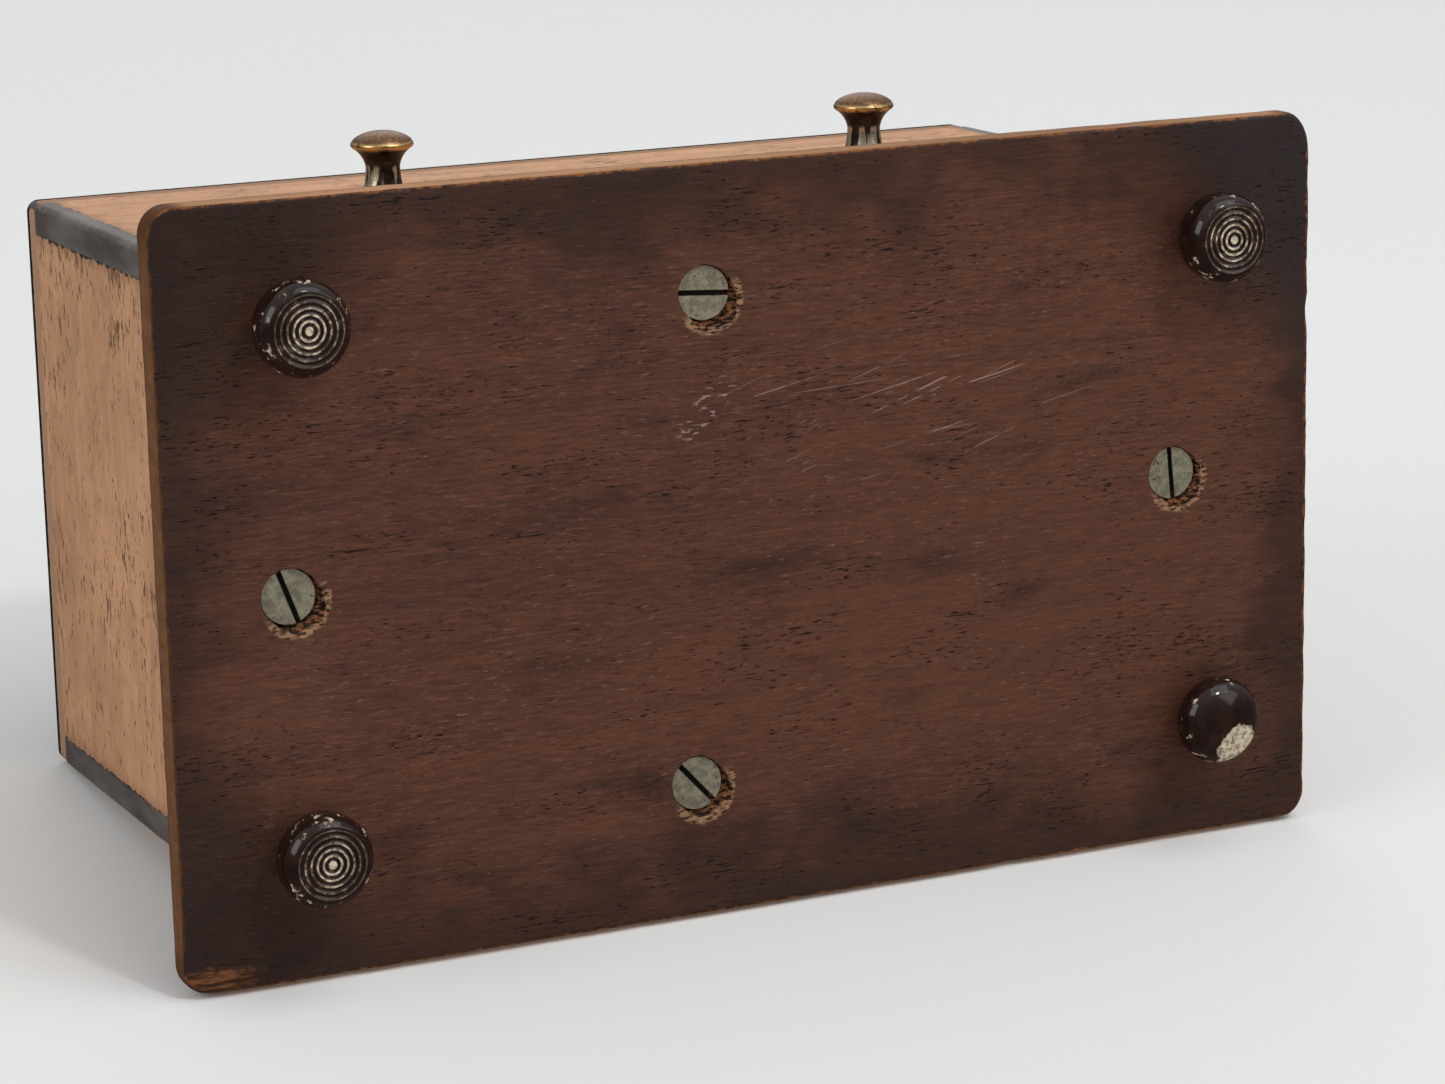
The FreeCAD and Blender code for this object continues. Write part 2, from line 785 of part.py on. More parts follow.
def coil_pair(name, radius, start, end, point, turn):
    """Two windings on a former, one each side of the shaft."""
    halves = []
    for side, sign in (("near", -1), ("far", 1)):
        begin = start if sign > 0 else -end
        outer = radius + s.winding_thickness
        halves.append(ring(f"{name}_{side}", outer, radius, end - start))
        place(halves[-1], shifted(point, turn, begin), turn)
    return group(name, halves)


def stator():
    """The fixed former, hung from the top on two pillars, with its two windings."""
    centre = (TUNER_X, 0, STATOR_Z)
    inner = s.stator_radius - s.stator_wall
    former = tube("stator_tube", s.stator_radius, s.stator_wall, s.stator_length, centre, RIGHTWARD)
    low = (TUNER_X, 0, STATOR_Z - s.stator_radius)
    bearing = rod("stator_bearing", s.shaft_radius + s.running_gap, s.stator_radius * 2, low)
    pillars, screws, nuts, holes = [], [], [], [bearing]
    for name, sign in (("left", -1), ("right", 1)):
        spot = (TUNER_X + s.pillar_place * sign, 0, TOP_HIGH)
        length = s.top_thickness + s.stator_drop + s.stator_wall * 3
        screws.append(small_screw(f"stator_screw_{name}", length, spot, DOWN, 60))
        holes.append(rod(f"stator_hole_{name}", s.small_shank, length, spot, DOWN))
        foot = (spot[0], 0, STATOR_Z + inner)
        post = rod(f"pillar_post_{name}", s.pillar_radius, SIDE_HIGH - STATOR_Z - inner, foot)
        saddle = rod(f"pillar_saddle_{name}", s.stator_radius, s.stator_length, turn=RIGHTWARD)
        place(saddle, (TUNER_X - s.stator_length / 2, 0, STATOR_Z), RIGHTWARD)
        bore = rod(f"pillar_bore_{name}", s.small_shank, length, spot, DOWN)
        pillars.append(cut(f"pillar_{name}", post, saddle, bore))
        low = (spot[0], 0, STATOR_Z + inner - s.nut_thickness - s.pillar_nut_gap)
        nuts.append(nut(f"stator_nut_{name}", s.nut_radius * 0.8, s.small_shank, s.nut_thickness, low, UP))
    node(cut("stator_former", former, *holes))
    start, end = s.stator_winding_start, s.stator_winding_end
    node(coil_pair("stator_windings", s.stator_radius, start, end, centre, RIGHTWARD))
    node(group("stator_pillars", pillars))
    node(group("stator_screws", screws))
    node(group("stator_nuts", nuts))


def rotor():
    """What turns with the tuning knob: knob, pointer, grub screw, shaft, collar and inner coil."""
    centre = (TUNER_X, 0, STATOR_Z)
    former = tube("rotor_tube", s.rotor_radius, s.rotor_wall, s.rotor_length, centre, FORWARD)
    bore = rod("rotor_bore", s.shaft_radius, s.rotor_radius * 2, (TUNER_X, 0, STATOR_Z - s.rotor_radius))
    node(cut("rotor_former", former, bore))
    start, end = s.rotor_winding_start, s.rotor_winding_end
    node(coil_pair("rotor_windings", s.rotor_radius, start, end, centre, FORWARD))
    low = STATOR_Z - s.stator_radius
    knob_low = TOP_HIGH + s.pointer_lift + s.pointer_thickness
    shaft_high = knob_low + s.dial_height * 0.7
    node(rod("tuner_shaft", s.shaft_radius, shaft_high - low, (TUNER_X, 0, low)))
    collar_low = SIDE_HIGH - s.bush_nut_thickness - s.collar_height - s.collar_gap
    node(ring("shaft_collar", s.collar_radius, s.shaft_radius, s.collar_height, (TUNER_X, 0, collar_low)))
    node(pointer((TUNER_X, 0, TOP_HIGH + s.pointer_lift)))
    tuning_knob((TUNER_X, 0, knob_low), shaft_high - knob_low)


def pointer(point):
    """The brass pointer under the knob, towards the back when the knob is at mid-scale."""
    hub, tip = s.pointer_radius, s.slot_width / 2
    root = hub / 4
    start = hub - root / 8
    outline = ((root, start), (tip, s.pointer_reach), (-tip, s.pointer_reach), (-root, start))
    boss = rod("pointer_boss", hub, s.pointer_thickness)
    needle = padded("pointer_needle", outline, s.pointer_thickness)
    bore = rod("pointer_bore", s.shaft_radius, s.pointer_thickness)
    return place(cut("pointer", joined("pointer_blank", boss, needle), bore), point)


def tuning_knob(point, bore_depth):
    """The ebonite knob with its fluted grip, and the grub screw in its skirt."""
    crown, rise = s.dial_grip_radius - s.dial_crown_inset, s.dial_crown_rise
    skirt, high = s.dial_skirt_radius, s.dial_skirt_height
    outline = (
        (0, 0),
        (skirt, 0),
        (skirt, high, s.dial_skirt_curve),
        (skirt - s.dial_shoulder, high + s.dial_shoulder_rise, -s.dial_shoulder),
        (s.dial_grip_radius, high + s.dial_grip_rise),
        (s.dial_grip_radius - s.dial_taper, s.dial_height - s.dial_edge_drop, s.dial_edge),
        (crown, s.dial_height, dome(crown, rise)),
        (0, s.dial_height + rise),
    )
    blank = turned("tuning_knob_blank", outline)
    tools = [rod("tuning_knob_bore", s.shaft_radius, bore_depth)]
    flutes = 24
    for number in range(flutes):
        angle = math.radians(360 / flutes * (number + 0.5))
        reach = s.dial_grip_radius + s.flute_radius * 0.55
        spot = (reach * math.cos(angle), reach * math.sin(angle), high + s.dial_grip_rise)
        tools.append(rod(f"flute_{number + 1}", s.flute_radius, s.dial_height, spot))
    length = skirt - s.shaft_radius - s.dial_taper
    start = (s.shaft_radius, 0, s.grub_height)
    hole = rod("grub_hole", s.small_shank, skirt, start, RIGHTWARD)
    node(place(cut("tuning_knob", blank, *tools, hole), point))
    grub = rod("grub_blank", s.small_shank, length)
    wide, half = s.small_shank * 2, s.grub_slot_width / 2
    slot = block("grub_slot", (-wide, -half, length - s.slot_depth), (wide, half, length + s.slot_depth))
    spot = (point[0] + s.shaft_radius, 0, point[2] + s.grub_height)
    node(place(cut("knob_grub_screw", grub, slot), spot, RIGHTWARD))


# --- detector --------------------------------------------------------------------------------


def detector():
    """The cat's-whisker detector: a crystal in a cup, and a wire on a jointed arm."""
    tail = -(s.top_thickness + s.stud_inner * 0.7)
    foot, rise = s.post_foot_radius, s.post_foot_height
    cup_post = [(0, tail), (s.stud_radius, tail), (s.stud_radius, 0), (foot, 0), (foot, rise)]
    stem = s.cup_stem_radius
    cup_post += [(stem, rise + s.post_shoulder), (stem, s.detector_height), (0, s.detector_height)]
    post = turned("cup_post_blank", cup_post, (s.cup_post_x, 0, TOP_HIGH))
    start = (s.cup_post_x - s.cup_length / 2, 0, DETECTOR_Z)
    saddle = rod("cup_saddle", s.cup_radius, s.cup_length, start, RIGHTWARD)
    node(cut("cup_post", post, saddle))
    crystal_cup(start)
    stem, top = s.arm_stem_radius, s.arm_stem_height
    arm_post = [(0, tail), (s.stud_radius, tail), (s.stud_radius, 0), (foot, 0), (foot, rise)]
    arm_post += [(stem, rise + s.post_shoulder), (stem, top), (s.pivot_radius, top)]
    arm_post += [(s.pivot_radius, top + s.pivot_height), (0, top + s.pivot_height)]
    node(turned("arm_post", arm_post, (s.arm_post_x, 0, TOP_HIGH)))
    nuts = []
    for name, x in (("arm", s.arm_post_x), ("cup", s.cup_post_x)):
        low = (x, 0, SIDE_HIGH - s.tag_thickness - s.nut_thickness)
        nuts.append(nut(f"{name}_post_nut", s.nut_radius, s.stud_radius, s.nut_thickness, low, UP))
    node(group("post_nuts", nuts))
    fork()
    arm()


def crystal_cup(start):
    """The cup, mouth towards the arm, its three clamping screws and the crystal."""
    mouth = s.cup_length - s.cup_floor
    blank = rod("cup_blank", s.cup_radius, s.cup_length, start, RIGHTWARD)
    well = rod("cup_well", s.cup_bore, mouth, start, RIGHTWARD)
    holes, screws = [], []
    seat = start[0] + s.crystal_depth
    thin, thick = s.cup_screw_radius, s.cup_screw_head
    low = s.cup_radius - s.crystal_radius + s.cup_screw_stand
    high = low + s.cup_screw_head_height
    outline = ((0, 0), (thin, 0), (thin, low), (thick, low), (thick, high), (0, high))
    for number, angle in enumerate((0, 120, 240), start=1):
        way = FreeCAD.Rotation(FreeCAD.Vector(1, 0, 0), angle)
        y, z = (round(part, 6) for part in tuple(way.multVec(FreeCAD.Vector(0, 0, 1)))[1:])
        tip = (seat, s.crystal_radius * y, DETECTOR_Z + s.crystal_radius * z)
        holes.append(rod(f"cup_hole_{number}", thin, s.cup_radius * 2, tip, way))
        screws.append(turned(f"cup_screw_{number}", outline, tip, way))
    node(cut("crystal_cup", blank, well, *holes))
    node(group("cup_screws", screws))
    ball = new("Part::Sphere", "crystal_ball")
    bind(ball, Radius=s.crystal_radius)
    side = s.crystal_side
    lump = padded("crystal_lump", rectangle(side, side), side)
    lump.Placement.Rotation = FreeCAD.Rotation(28, 34, 17)
    shift = lump.Placement.Rotation.multVec(FreeCAD.Vector(0, 0, -side.value / 2))
    place(lump, tuple(shift), lump.Placement.Rotation)
    stone = new("Part::Common", "crystal")
    stone.Base = ball
    stone.Tool = lump
    node(place(stone, (seat, 0, DETECTOR_Z)))


def fork():
    """The swivelling fork on the arm post."""
    low = TOP_HIGH + s.arm_stem_height + s.running_gap
    half, ear = s.fork_gap / 2, s.fork_ear
    wide, high = s.fork_ear_width / 2, DETECTOR_Z + s.fork_ear_top
    x = s.arm_post_x
    floor = rod("fork_floor_disc", s.fork_radius, s.fork_floor, (x, 0, low))
    ears = [
        block("fork_ear_front", (x - wide, -half - ear, low), (x + wide, -half, high)),
        block("fork_ear_back", (x - wide, half, low), (x + wide, half + ear, high)),
    ]
    loose = s.running_gap
    deep = s.pivot_height + s.fork_end_play
    pivot = rod("fork_pivot_bore", s.pivot_radius + loose, deep, (x, 0, low))
    start = (x, half * -3, DETECTOR_Z)
    axle = rod("fork_axle_bore", s.axle_radius + loose, s.fork_gap * 3, start, BACKWARD)
    node(cut("swivel_fork", joined("fork_blank", floor, *ears), pivot, axle))


def arm():
    """The barrel that tilts in the fork, and the rod that slides through it with grip and wire."""
    x = s.arm_post_x
    half = s.barrel_length / 2
    axle = s.fork_gap / 2 + s.fork_ear + s.axle_stand
    drum = rod("barrel_drum", s.barrel_radius, s.barrel_length, (x, -half, DETECTOR_Z), BACKWARD)
    spindle = rod("barrel_spindle", s.axle_radius, axle * 2, (x, -axle, DETECTOR_Z), BACKWARD)
    loose = s.rod_radius + s.running_gap
    reach = s.barrel_radius * 2
    across = rod("barrel_bore", loose, reach * 2, (x - reach, 0, DETECTOR_Z), RIGHTWARD)
    node(cut("arm_barrel", joined("barrel_blank", drum, spindle), across))
    back, front = -s.rod_back, s.rod_front
    collet = front - s.collet_length
    outline = (
        (0, back),
        (s.rod_radius, back),
        (s.rod_radius, collet),
        (s.collet_radius, collet + s.collet_taper),
        (s.collet_radius, front),
        (0, front),
    )
    node(turned("whisker_rod", outline, (x, 0, DETECTOR_Z), RIGHTWARD))
    length, grip = s.grip_length, s.grip_radius
    outline = (
        (0, 0),
        (grip * 0.8, 0, s.grip_edge),
        (grip, s.grip_edge_height),
        (grip, s.grip_band_height, -s.grip_waist_curve),
        (grip * 0.72, s.grip_waist_height),
        (grip * 0.5, length),
        (s.rod_radius, length),
        (s.rod_radius, length - s.grip_bore),
        (0, length - s.grip_bore),
    )
    node(turned("whisker_grip", outline, (x + back + s.grip_bore - length, 0, DETECTOR_Z), RIGHTWARD))
    whisker(x + front)


def whisker(start):
    """The springy wire coil whose straight end rests on the crystal."""
    radius, wire, pitch = s.coil_radius.value, s.coil_wire.value, s.coil_pitch.value
    coil = Part.makeHelix(pitch, pitch * s.coil_turns.value, radius)
    circle = Part.Circle(FreeCAD.Vector(radius, 0, 0), FreeCAD.Vector(0, 1, 0), wire)
    section = Part.Wire([circle.toShape()])
    turns = Part.Wire(coil.Edges).makePipeShell([section], True, True)
    height = pitch * s.coil_turns.value
    tip = Part.makeCylinder(wire, s.whisker_tip.value, FreeCAD.Vector(radius, 0, height - wire))
    obj = new("Part::Feature", "cat_whisker")
    obj.Shape = turns.fuse(tip)
    node(place(obj, (start + s.coil_wire, 0, DETECTOR_Z), RIGHTWARD))


# --- condenser and wiring ----------------------------------------------------------------------


def condenser():
    """The mica blocking condenser under the top, held by two screws."""
    x, y = s.condenser_x, -s.condenser_y
    long, wide, thick = s.condenser_length / 2, s.condenser_width / 2, s.condenser_thickness
    low, high = (x - long, y - wide, SIDE_HIGH - thick), (x + long, y + wide, SIDE_HIGH)
    body = block("condenser_block", low, high)
    deep = s.condenser_hole_depth
    seats, screws, holes = [], [], []
    for name, sign in (("left", -1), ("right", 1)):
        across = x + s.condenser_hole_place * sign
        spot = (across, y, SIDE_HIGH - thick)
        seats.append(sink(f"condenser_seat_{name}", spot, UP))
        screws.append(small_screw(f"condenser_screw_{name}", thick + deep, spot, UP, 40))
        holes.append(rod(f"condenser_hole_{name}", s.small_shank, deep, (across, y, SIDE_HIGH)))
    node(cut("condenser", body, *seats))
    node(group("condenser_screws", screws))
    return holes


def bent_path(points):
    """Straight runs joined by arcs as large as the shorter run at each corner allows."""
    edges, start = [], points[0]
    for before, corner, after in zip(points, points[1:], points[2:]):
        back, ahead = before - corner, after - corner
        half_angle = back.getAngle(ahead) / 2
        reach = 0.45 * min(back.Length, ahead.Length)
        back.normalize()
        ahead.normalize()
        first, last = corner + back * reach, corner + ahead * reach
        bisector = (back + ahead).normalize()
        radius = reach * math.tan(half_angle)
        middle = corner + bisector * (reach / math.cos(half_angle) - radius)
        edges += [Part.LineSegment(start, first).toShape(), Part.Arc(first, middle, last).toShape()]
        start = last
    edges.append(Part.LineSegment(start, points[-1]).toShape())
    return Part.Wire(edges)


def wire(name, points):
    """An insulated hookup wire along a route."""
    route = [FreeCAD.Vector(*[as_size(c).value for c in point]) for point in points]
    path = bent_path(route)
    circle = Part.Circle(route[0], route[1] - route[0], s.wire_radius.value)
    section = Part.Wire([circle.toShape()])
    obj = new("Part::Feature", name)
    obj.Shape = path.makePipeShell([section], True, True)
    expected = path.Length * math.pi * s.wire_radius.value**2
    if abs(obj.Shape.Volume - expected) > expected * 0.02:
        raise ValueError(f"{name} is not a clean tube")
    node(obj)


def wiring():
    """The hookup wires, from tag to tag."""
    phone_y = s.wall_thickness + s.tag_thickness - s.case_width / 2
    radius = s.wire_radius
    tag_z = SIDE_HIGH - s.tag_thickness - radius
    reach = s.tag_length - radius * 2
    phone_tail = phone_y + radius
    left, right = -s.phone_spread + reach, s.phone_spread + reach
    low = s.phone_height
    wire(
        "aerial_wire",
        (
            (-s.line_x + reach, s.line_y, tag_z),
            (-s.line_x + reach, s.line_y, tag_z - 9),
            (-s.line_x + reach + 2, s.line_y + 9, tag_z - 19),
            (TUNER_X - 22, s.line_y + 14, STATOR_Z + 10),
            (TUNER_X - 20, s.stator_radius + radius, STATOR_Z),
        ),
    )
    wire(
        "earth_wire",
        (
            (-s.line_x + reach, -s.line_y, tag_z),
            (-s.line_x + reach, -s.line_y, tag_z - 12),
            (-s.line_x + reach + 1, -s.line_y - 14, tag_z - 24),
            (left - 10, phone_tail + 1, low + 9),
            (left, phone_tail, low + 3),
            (left, phone_tail, low - 2),
        ),
    )
    wire(
        "arm_wire",
        (
            (s.arm_post_x + reach, 0, tag_z),
            (s.arm_post_x + reach, 0, tag_z - 9),
            (s.arm_post_x - 2, 12, tag_z - 16),
            (TUNER_X + 31, 33, STATOR_Z + 14),
            (TUNER_X + 20, s.stator_radius + radius, STATOR_Z),
        ),
    )
    wire(
        "cup_wire",
        (
            (s.cup_post_x + reach, 0, tag_z),
            (s.cup_post_x + reach, -1, tag_z - 9),
            (s.cup_post_x + reach - 2, -14, tag_z - 20),
            (right + 8, phone_tail + 5, low + 12),
            (right, phone_tail, low + 4),
            (right, phone_tail, low - 2),
        ),
    )


def top_panel(seats):
    """The ebonite top, bored for all that it carries."""
    outline = rounded_rectangle(s.case_length, s.case_width, s.top_corner)
    board = padded("top_board", outline, s.top_thickness, (0, 0, SIDE_HIGH))
    thick = s.top_thickness
    tools = [rod("bush_hole", s.bush_radius, thick, (TUNER_X, 0, SIDE_HIGH))]
    for name, point, _, wall in terminal_places():
        if wall is s.top_thickness:
            tools.append(rod(f"{name}_hole", s.stud_radius, wall, (point[0], point[1], SIDE_HIGH)))
    for name, x in (("arm", s.arm_post_x), ("cup", s.cup_post_x)):
        tools.append(rod(f"{name}_post_hole", s.stud_radius, thick, (x, 0, SIDE_HIGH)))
    for name, sign in (("left", -1), ("right", 1)):
        seats.append(sink(f"stator_seat_{name}", (TUNER_X + s.pillar_place * sign, 0, TOP_HIGH), DOWN))
    node(cut("top_panel", board, *tools, *seats))


# --- document ----------------------------------------------------------------------------------


def check():
    """Stop if any object failed, or any sub-part has no valid solid of its own."""
    for obj in doc.Objects:
        if {"Invalid", "Error"} & set(obj.State):
            raise ValueError(f"{obj.Label} failed: {obj.State}")
    for obj in nodes:
        shape = obj.Shape
        if shape.isNull() or not shape.isValid() or not shape.Solids:
            raise ValueError(f"{obj.Label} has no valid solid")


def export():
    """Write each sub-part's shape to its own file."""
    os.makedirs("parts", exist_ok=True)
    for obj in nodes:
        obj.Shape.exportStep(f"parts/{obj.Label}.step")
        print(f"{obj.Label}: {len(obj.Shape.Solids)} solid(s), {obj.Shape.Volume:.1f} mm3")


def build():
    """Make every sub-part."""
    base_plate()
    feet()
    base_screws()
    panels()
    corner_beads()
    battens()
    seats = top_fixing()
    terminals()
    solder_tags()
    seats += tuner()
    detector()
    seats += condenser()
    wiring()
    top_panel(seats)
    doc.recompute()


build()
check()
export()
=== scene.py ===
import math

import bmesh
import bpy
from mathutils import Matrix, Vector, noise
from mathutils.geometry import delaunay_2d_cdt


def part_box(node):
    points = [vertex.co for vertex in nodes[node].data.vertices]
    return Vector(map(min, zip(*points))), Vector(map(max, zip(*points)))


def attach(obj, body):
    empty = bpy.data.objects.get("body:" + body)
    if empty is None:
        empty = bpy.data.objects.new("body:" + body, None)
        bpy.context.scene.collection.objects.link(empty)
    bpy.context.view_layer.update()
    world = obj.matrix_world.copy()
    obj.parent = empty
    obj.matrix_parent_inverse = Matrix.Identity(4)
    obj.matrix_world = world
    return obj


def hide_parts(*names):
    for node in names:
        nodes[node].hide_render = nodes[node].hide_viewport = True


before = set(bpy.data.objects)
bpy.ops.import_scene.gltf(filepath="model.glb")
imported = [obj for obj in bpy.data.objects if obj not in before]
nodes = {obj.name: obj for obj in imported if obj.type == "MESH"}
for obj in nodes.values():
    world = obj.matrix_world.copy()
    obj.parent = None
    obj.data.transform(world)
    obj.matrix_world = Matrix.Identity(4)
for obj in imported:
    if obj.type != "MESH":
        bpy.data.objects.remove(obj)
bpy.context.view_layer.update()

# The crystal set lies on its back, so the camera looks at the underside of its base plate, its
# left end and its front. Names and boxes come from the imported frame. Lengths are millimetres
# until they reach a mesh, and there they are metres.

MM = 0.001

# Colours are linear reflectances.
STAIN_RED = (0.104, 0.039, 0.022)
STAIN_BROWN = (0.078, 0.031, 0.020)
STAIN_DARK = (0.021, 0.013, 0.011)
PORE = (0.007, 0.004, 0.003)
BARE_ORANGE = (0.26, 0.100, 0.038)
BARE_TAN = (0.48, 0.265, 0.145)
VENEER_LIGHT = (0.54, 0.285, 0.152)
VENEER_DARK = (0.385, 0.196, 0.102)
BLACK_PAINT = (0.021, 0.015, 0.012)
LACQUER = (0.010, 0.004, 0.003)
CREAM = (0.66, 0.56, 0.40)
CREAM_DIRTY = (0.20, 0.15, 0.10)
STEEL = (0.45, 0.40, 0.285)
STEEL_DARK = (0.10, 0.09, 0.07)
BRASS_BROWN = (0.150, 0.080, 0.044)
BRASS_DARK = (0.024, 0.014, 0.010)
RUBBED_GOLD_AND_HIGHLIGHT = (0.62, 0.40, 0.16)
BRASS_PLAIN = (0.62, 0.42, 0.18)
BLUISH_STAIN = (0.030, 0.024, 0.025)
PALE_FIBRE = (0.20, 0.105, 0.075)
SCRATCH = (0.31, 0.21, 0.175)
RUST = (0.055, 0.032, 0.018)
NECK_REFLECTION = (0.72, 0.62, 0.46)
VENEER_DUST = (0.34, 0.20, 0.125)


# --- node building ---


class Graph:
    """A material's node tree, built one call at a time. Lengths in it are millimetres."""

    def __init__(self, name):
        self.material = bpy.data.materials.new(name)
        self.material.use_nodes = True
        self.tree = self.material.node_tree
        self.tree.nodes.clear()
        coordinates = self.tree.nodes.new("ShaderNodeTexCoord")
        scaled = self.add("ShaderNodeVectorMath", {0: coordinates.outputs["Object"]}, operation="SCALE")
        scaled.inputs["Scale"].default_value = 1 / MM
        self.point = scaled.outputs["Vector"]
        split = self.add("ShaderNodeSeparateXYZ", {0: self.point})
        self.x, self.y, self.z = split.outputs

    def add(self, kind, inputs, **settings):
        node = self.tree.nodes.new(kind)
        for name, value in settings.items():
            setattr(node, name, value)
        for key, value in inputs.items():
            self.feed(node.inputs[key], value)
        return node

    def feed(self, socket, value):
        if isinstance(value, bpy.types.NodeSocket):
            self.tree.links.new(value, socket)
        elif isinstance(value, (tuple, list)) and len(value) == 3 and socket.type == "RGBA":
            socket.default_value = (*value, 1.0)
        else:
            socket.default_value = value

    def math(self, operation, first, second=0.0):
        node = self.add("ShaderNodeMath", {0: first, 1: second}, operation=operation)
        return node.outputs[0]

    def joined(self, operation, values):
        """The values taken together from the left, two at a time."""
        result = values[0]
        for value in values[1:]:
            result = self.math(operation, result, value)
        return result

    def times(self, *values):
        return self.joined("MULTIPLY", values)

    def plus(self, *values):
        return self.joined("ADD", values)

    def most(self, *values):
        return self.joined("MAXIMUM", values)

    def size(self, value):
        """A value without its sign."""
        return self.math("ABSOLUTE", value)

    def length(self, first, second):
        """The distance given by two sides at right angles."""
        return self.math("SQRT", self.plus(self.times(first, first), self.times(second, second)))

    def stretched(self, x=1.0, y=1.0, z=1.0, shift=(0.0, 0.0, 0.0), turn=0.0):
        """The point with each axis scaled, for streaks: a small factor makes a long streak."""
        turned = self.add("ShaderNodeMapping", {"Vector": self.point, "Rotation": (0.0, 0.0, turn)})
        inputs = {"Vector": turned.outputs[0], "Scale": (x, y, z), "Location": shift}
        return self.add("ShaderNodeMapping", inputs).outputs[0]

    def moved(self, x, y, z):
        """The point shifted, for a noise unlike the others."""
        return self.stretched(shift=(x, y, z))

    def place(self, where):
        """The point itself, or the point stretched where a tuple says how."""
        if isinstance(where, tuple):
            return self.stretched(*where)
        return self.point if where is None else where

    def noise(self, size, where=None, detail=3.0, roughness=0.55, distortion=0.0):
        """Noise from 0 to 1 with features of about the given size."""
        inputs = {
            "Vector": self.place(where),
            "Scale": 1 / size,
            "Detail": detail,
            "Roughness": roughness,
            "Distortion": distortion,
        }
        return self.add("ShaderNodeTexNoise", inputs).outputs[0]

    def cells(self, size, where=None, feature="F1"):
        inputs = {"Vector": self.place(where), "Scale": 1 / size}
        return self.add("ShaderNodeTexVoronoi", inputs, feature=feature).outputs[0]

    def step(self, value, low, high, start=0.0, end=1.0):
        """A smooth change from start to end as the value goes from low to high."""
        inputs = {"Value": value, "From Min": low, "From Max": high, "To Min": start, "To Max": end}
        return self.add("ShaderNodeMapRange", inputs, interpolation_type="SMOOTHSTEP").outputs[0]

    def fall(self, value, low, high):
        """A smooth change from 1 down to 0 as the value goes from low to high."""
        return self.step(value, low, high, 1.0, 0.0)

    def band(self, value, low, high, soft):
        """1 where the value is between low and high, with soft sides."""
        rise = self.step(value, low - soft, low + soft)
        return self.times(rise, self.fall(value, high - soft, high + soft))

    def mix(self, share, first, second):
        """A colour between two colours."""
        node = self.tree.nodes.new("ShaderNodeMix")
        node.data_type = "RGBA"
        for key, value in {0: share, 6: first, 7: second}.items():
            self.feed(node.inputs[key], value)
        return node.outputs[2]

    def shade(self, value, low, high, first, second):
        """A colour that goes from the first to the second as the value goes from low to high."""
        return self.mix(self.step(value, low, high), first, second)

    def blend(self, share, first, second):
        """A number between two numbers."""
        node = self.tree.nodes.new("ShaderNodeMix")
        for key, value in {0: share, 2: first, 3: second}.items():
            self.feed(node.inputs[key], value)
        return node.outputs[0]

    def bump(self, height, distance, strength):
        """A bump whose height value of 1 stands the given distance proud."""
        inputs = {"Height": height, "Distance": distance * MM, "Strength": strength}
        return self.add("ShaderNodeBump", inputs).outputs[0]

    def finish(self, colour, roughness=0.5, metallic=0.0, normal=None, **extra):
        """Close the tree with one surface shader and return the material."""
        inputs = {"Base Color": colour, "Roughness": roughness, "Metallic": metallic}
        inputs.update({name.replace("_", " "): value for name, value in extra.items()})
        if normal is not None:
            inputs["Normal"] = normal
        shader = self.add("ShaderNodeBsdfPrincipled", inputs)
        self.add("ShaderNodeOutputMaterial", {"Surface": shader.outputs[0]})
        return self.material


def scaled(colour, factor):
    """The colour made darker, or lighter where the factor is above 1."""
    return tuple(part * factor for part in colour)


def paint(names, material):
    """Give CAD nodes a material."""
    for name in names:
        mesh = nodes[name].data
        mesh.materials.clear()
        mesh.materials.append(material)


# --- materials: wood ---


def outline_distance(g, half_length, half_width, corner):
    """Distance outside the plate's rounded outline; it is negative inside."""
    out_x = g.plus(g.size(g.x), corner - half_length)
    out_y = g.plus(g.size(g.y), corner - half_width)
    outside = g.length(g.most(out_x, 0.0), g.most(out_y, 0.0))
    inside = g.math("MINIMUM", g.most(out_x, out_y), 0.0)
    return g.plus(outside, inside, -corner)


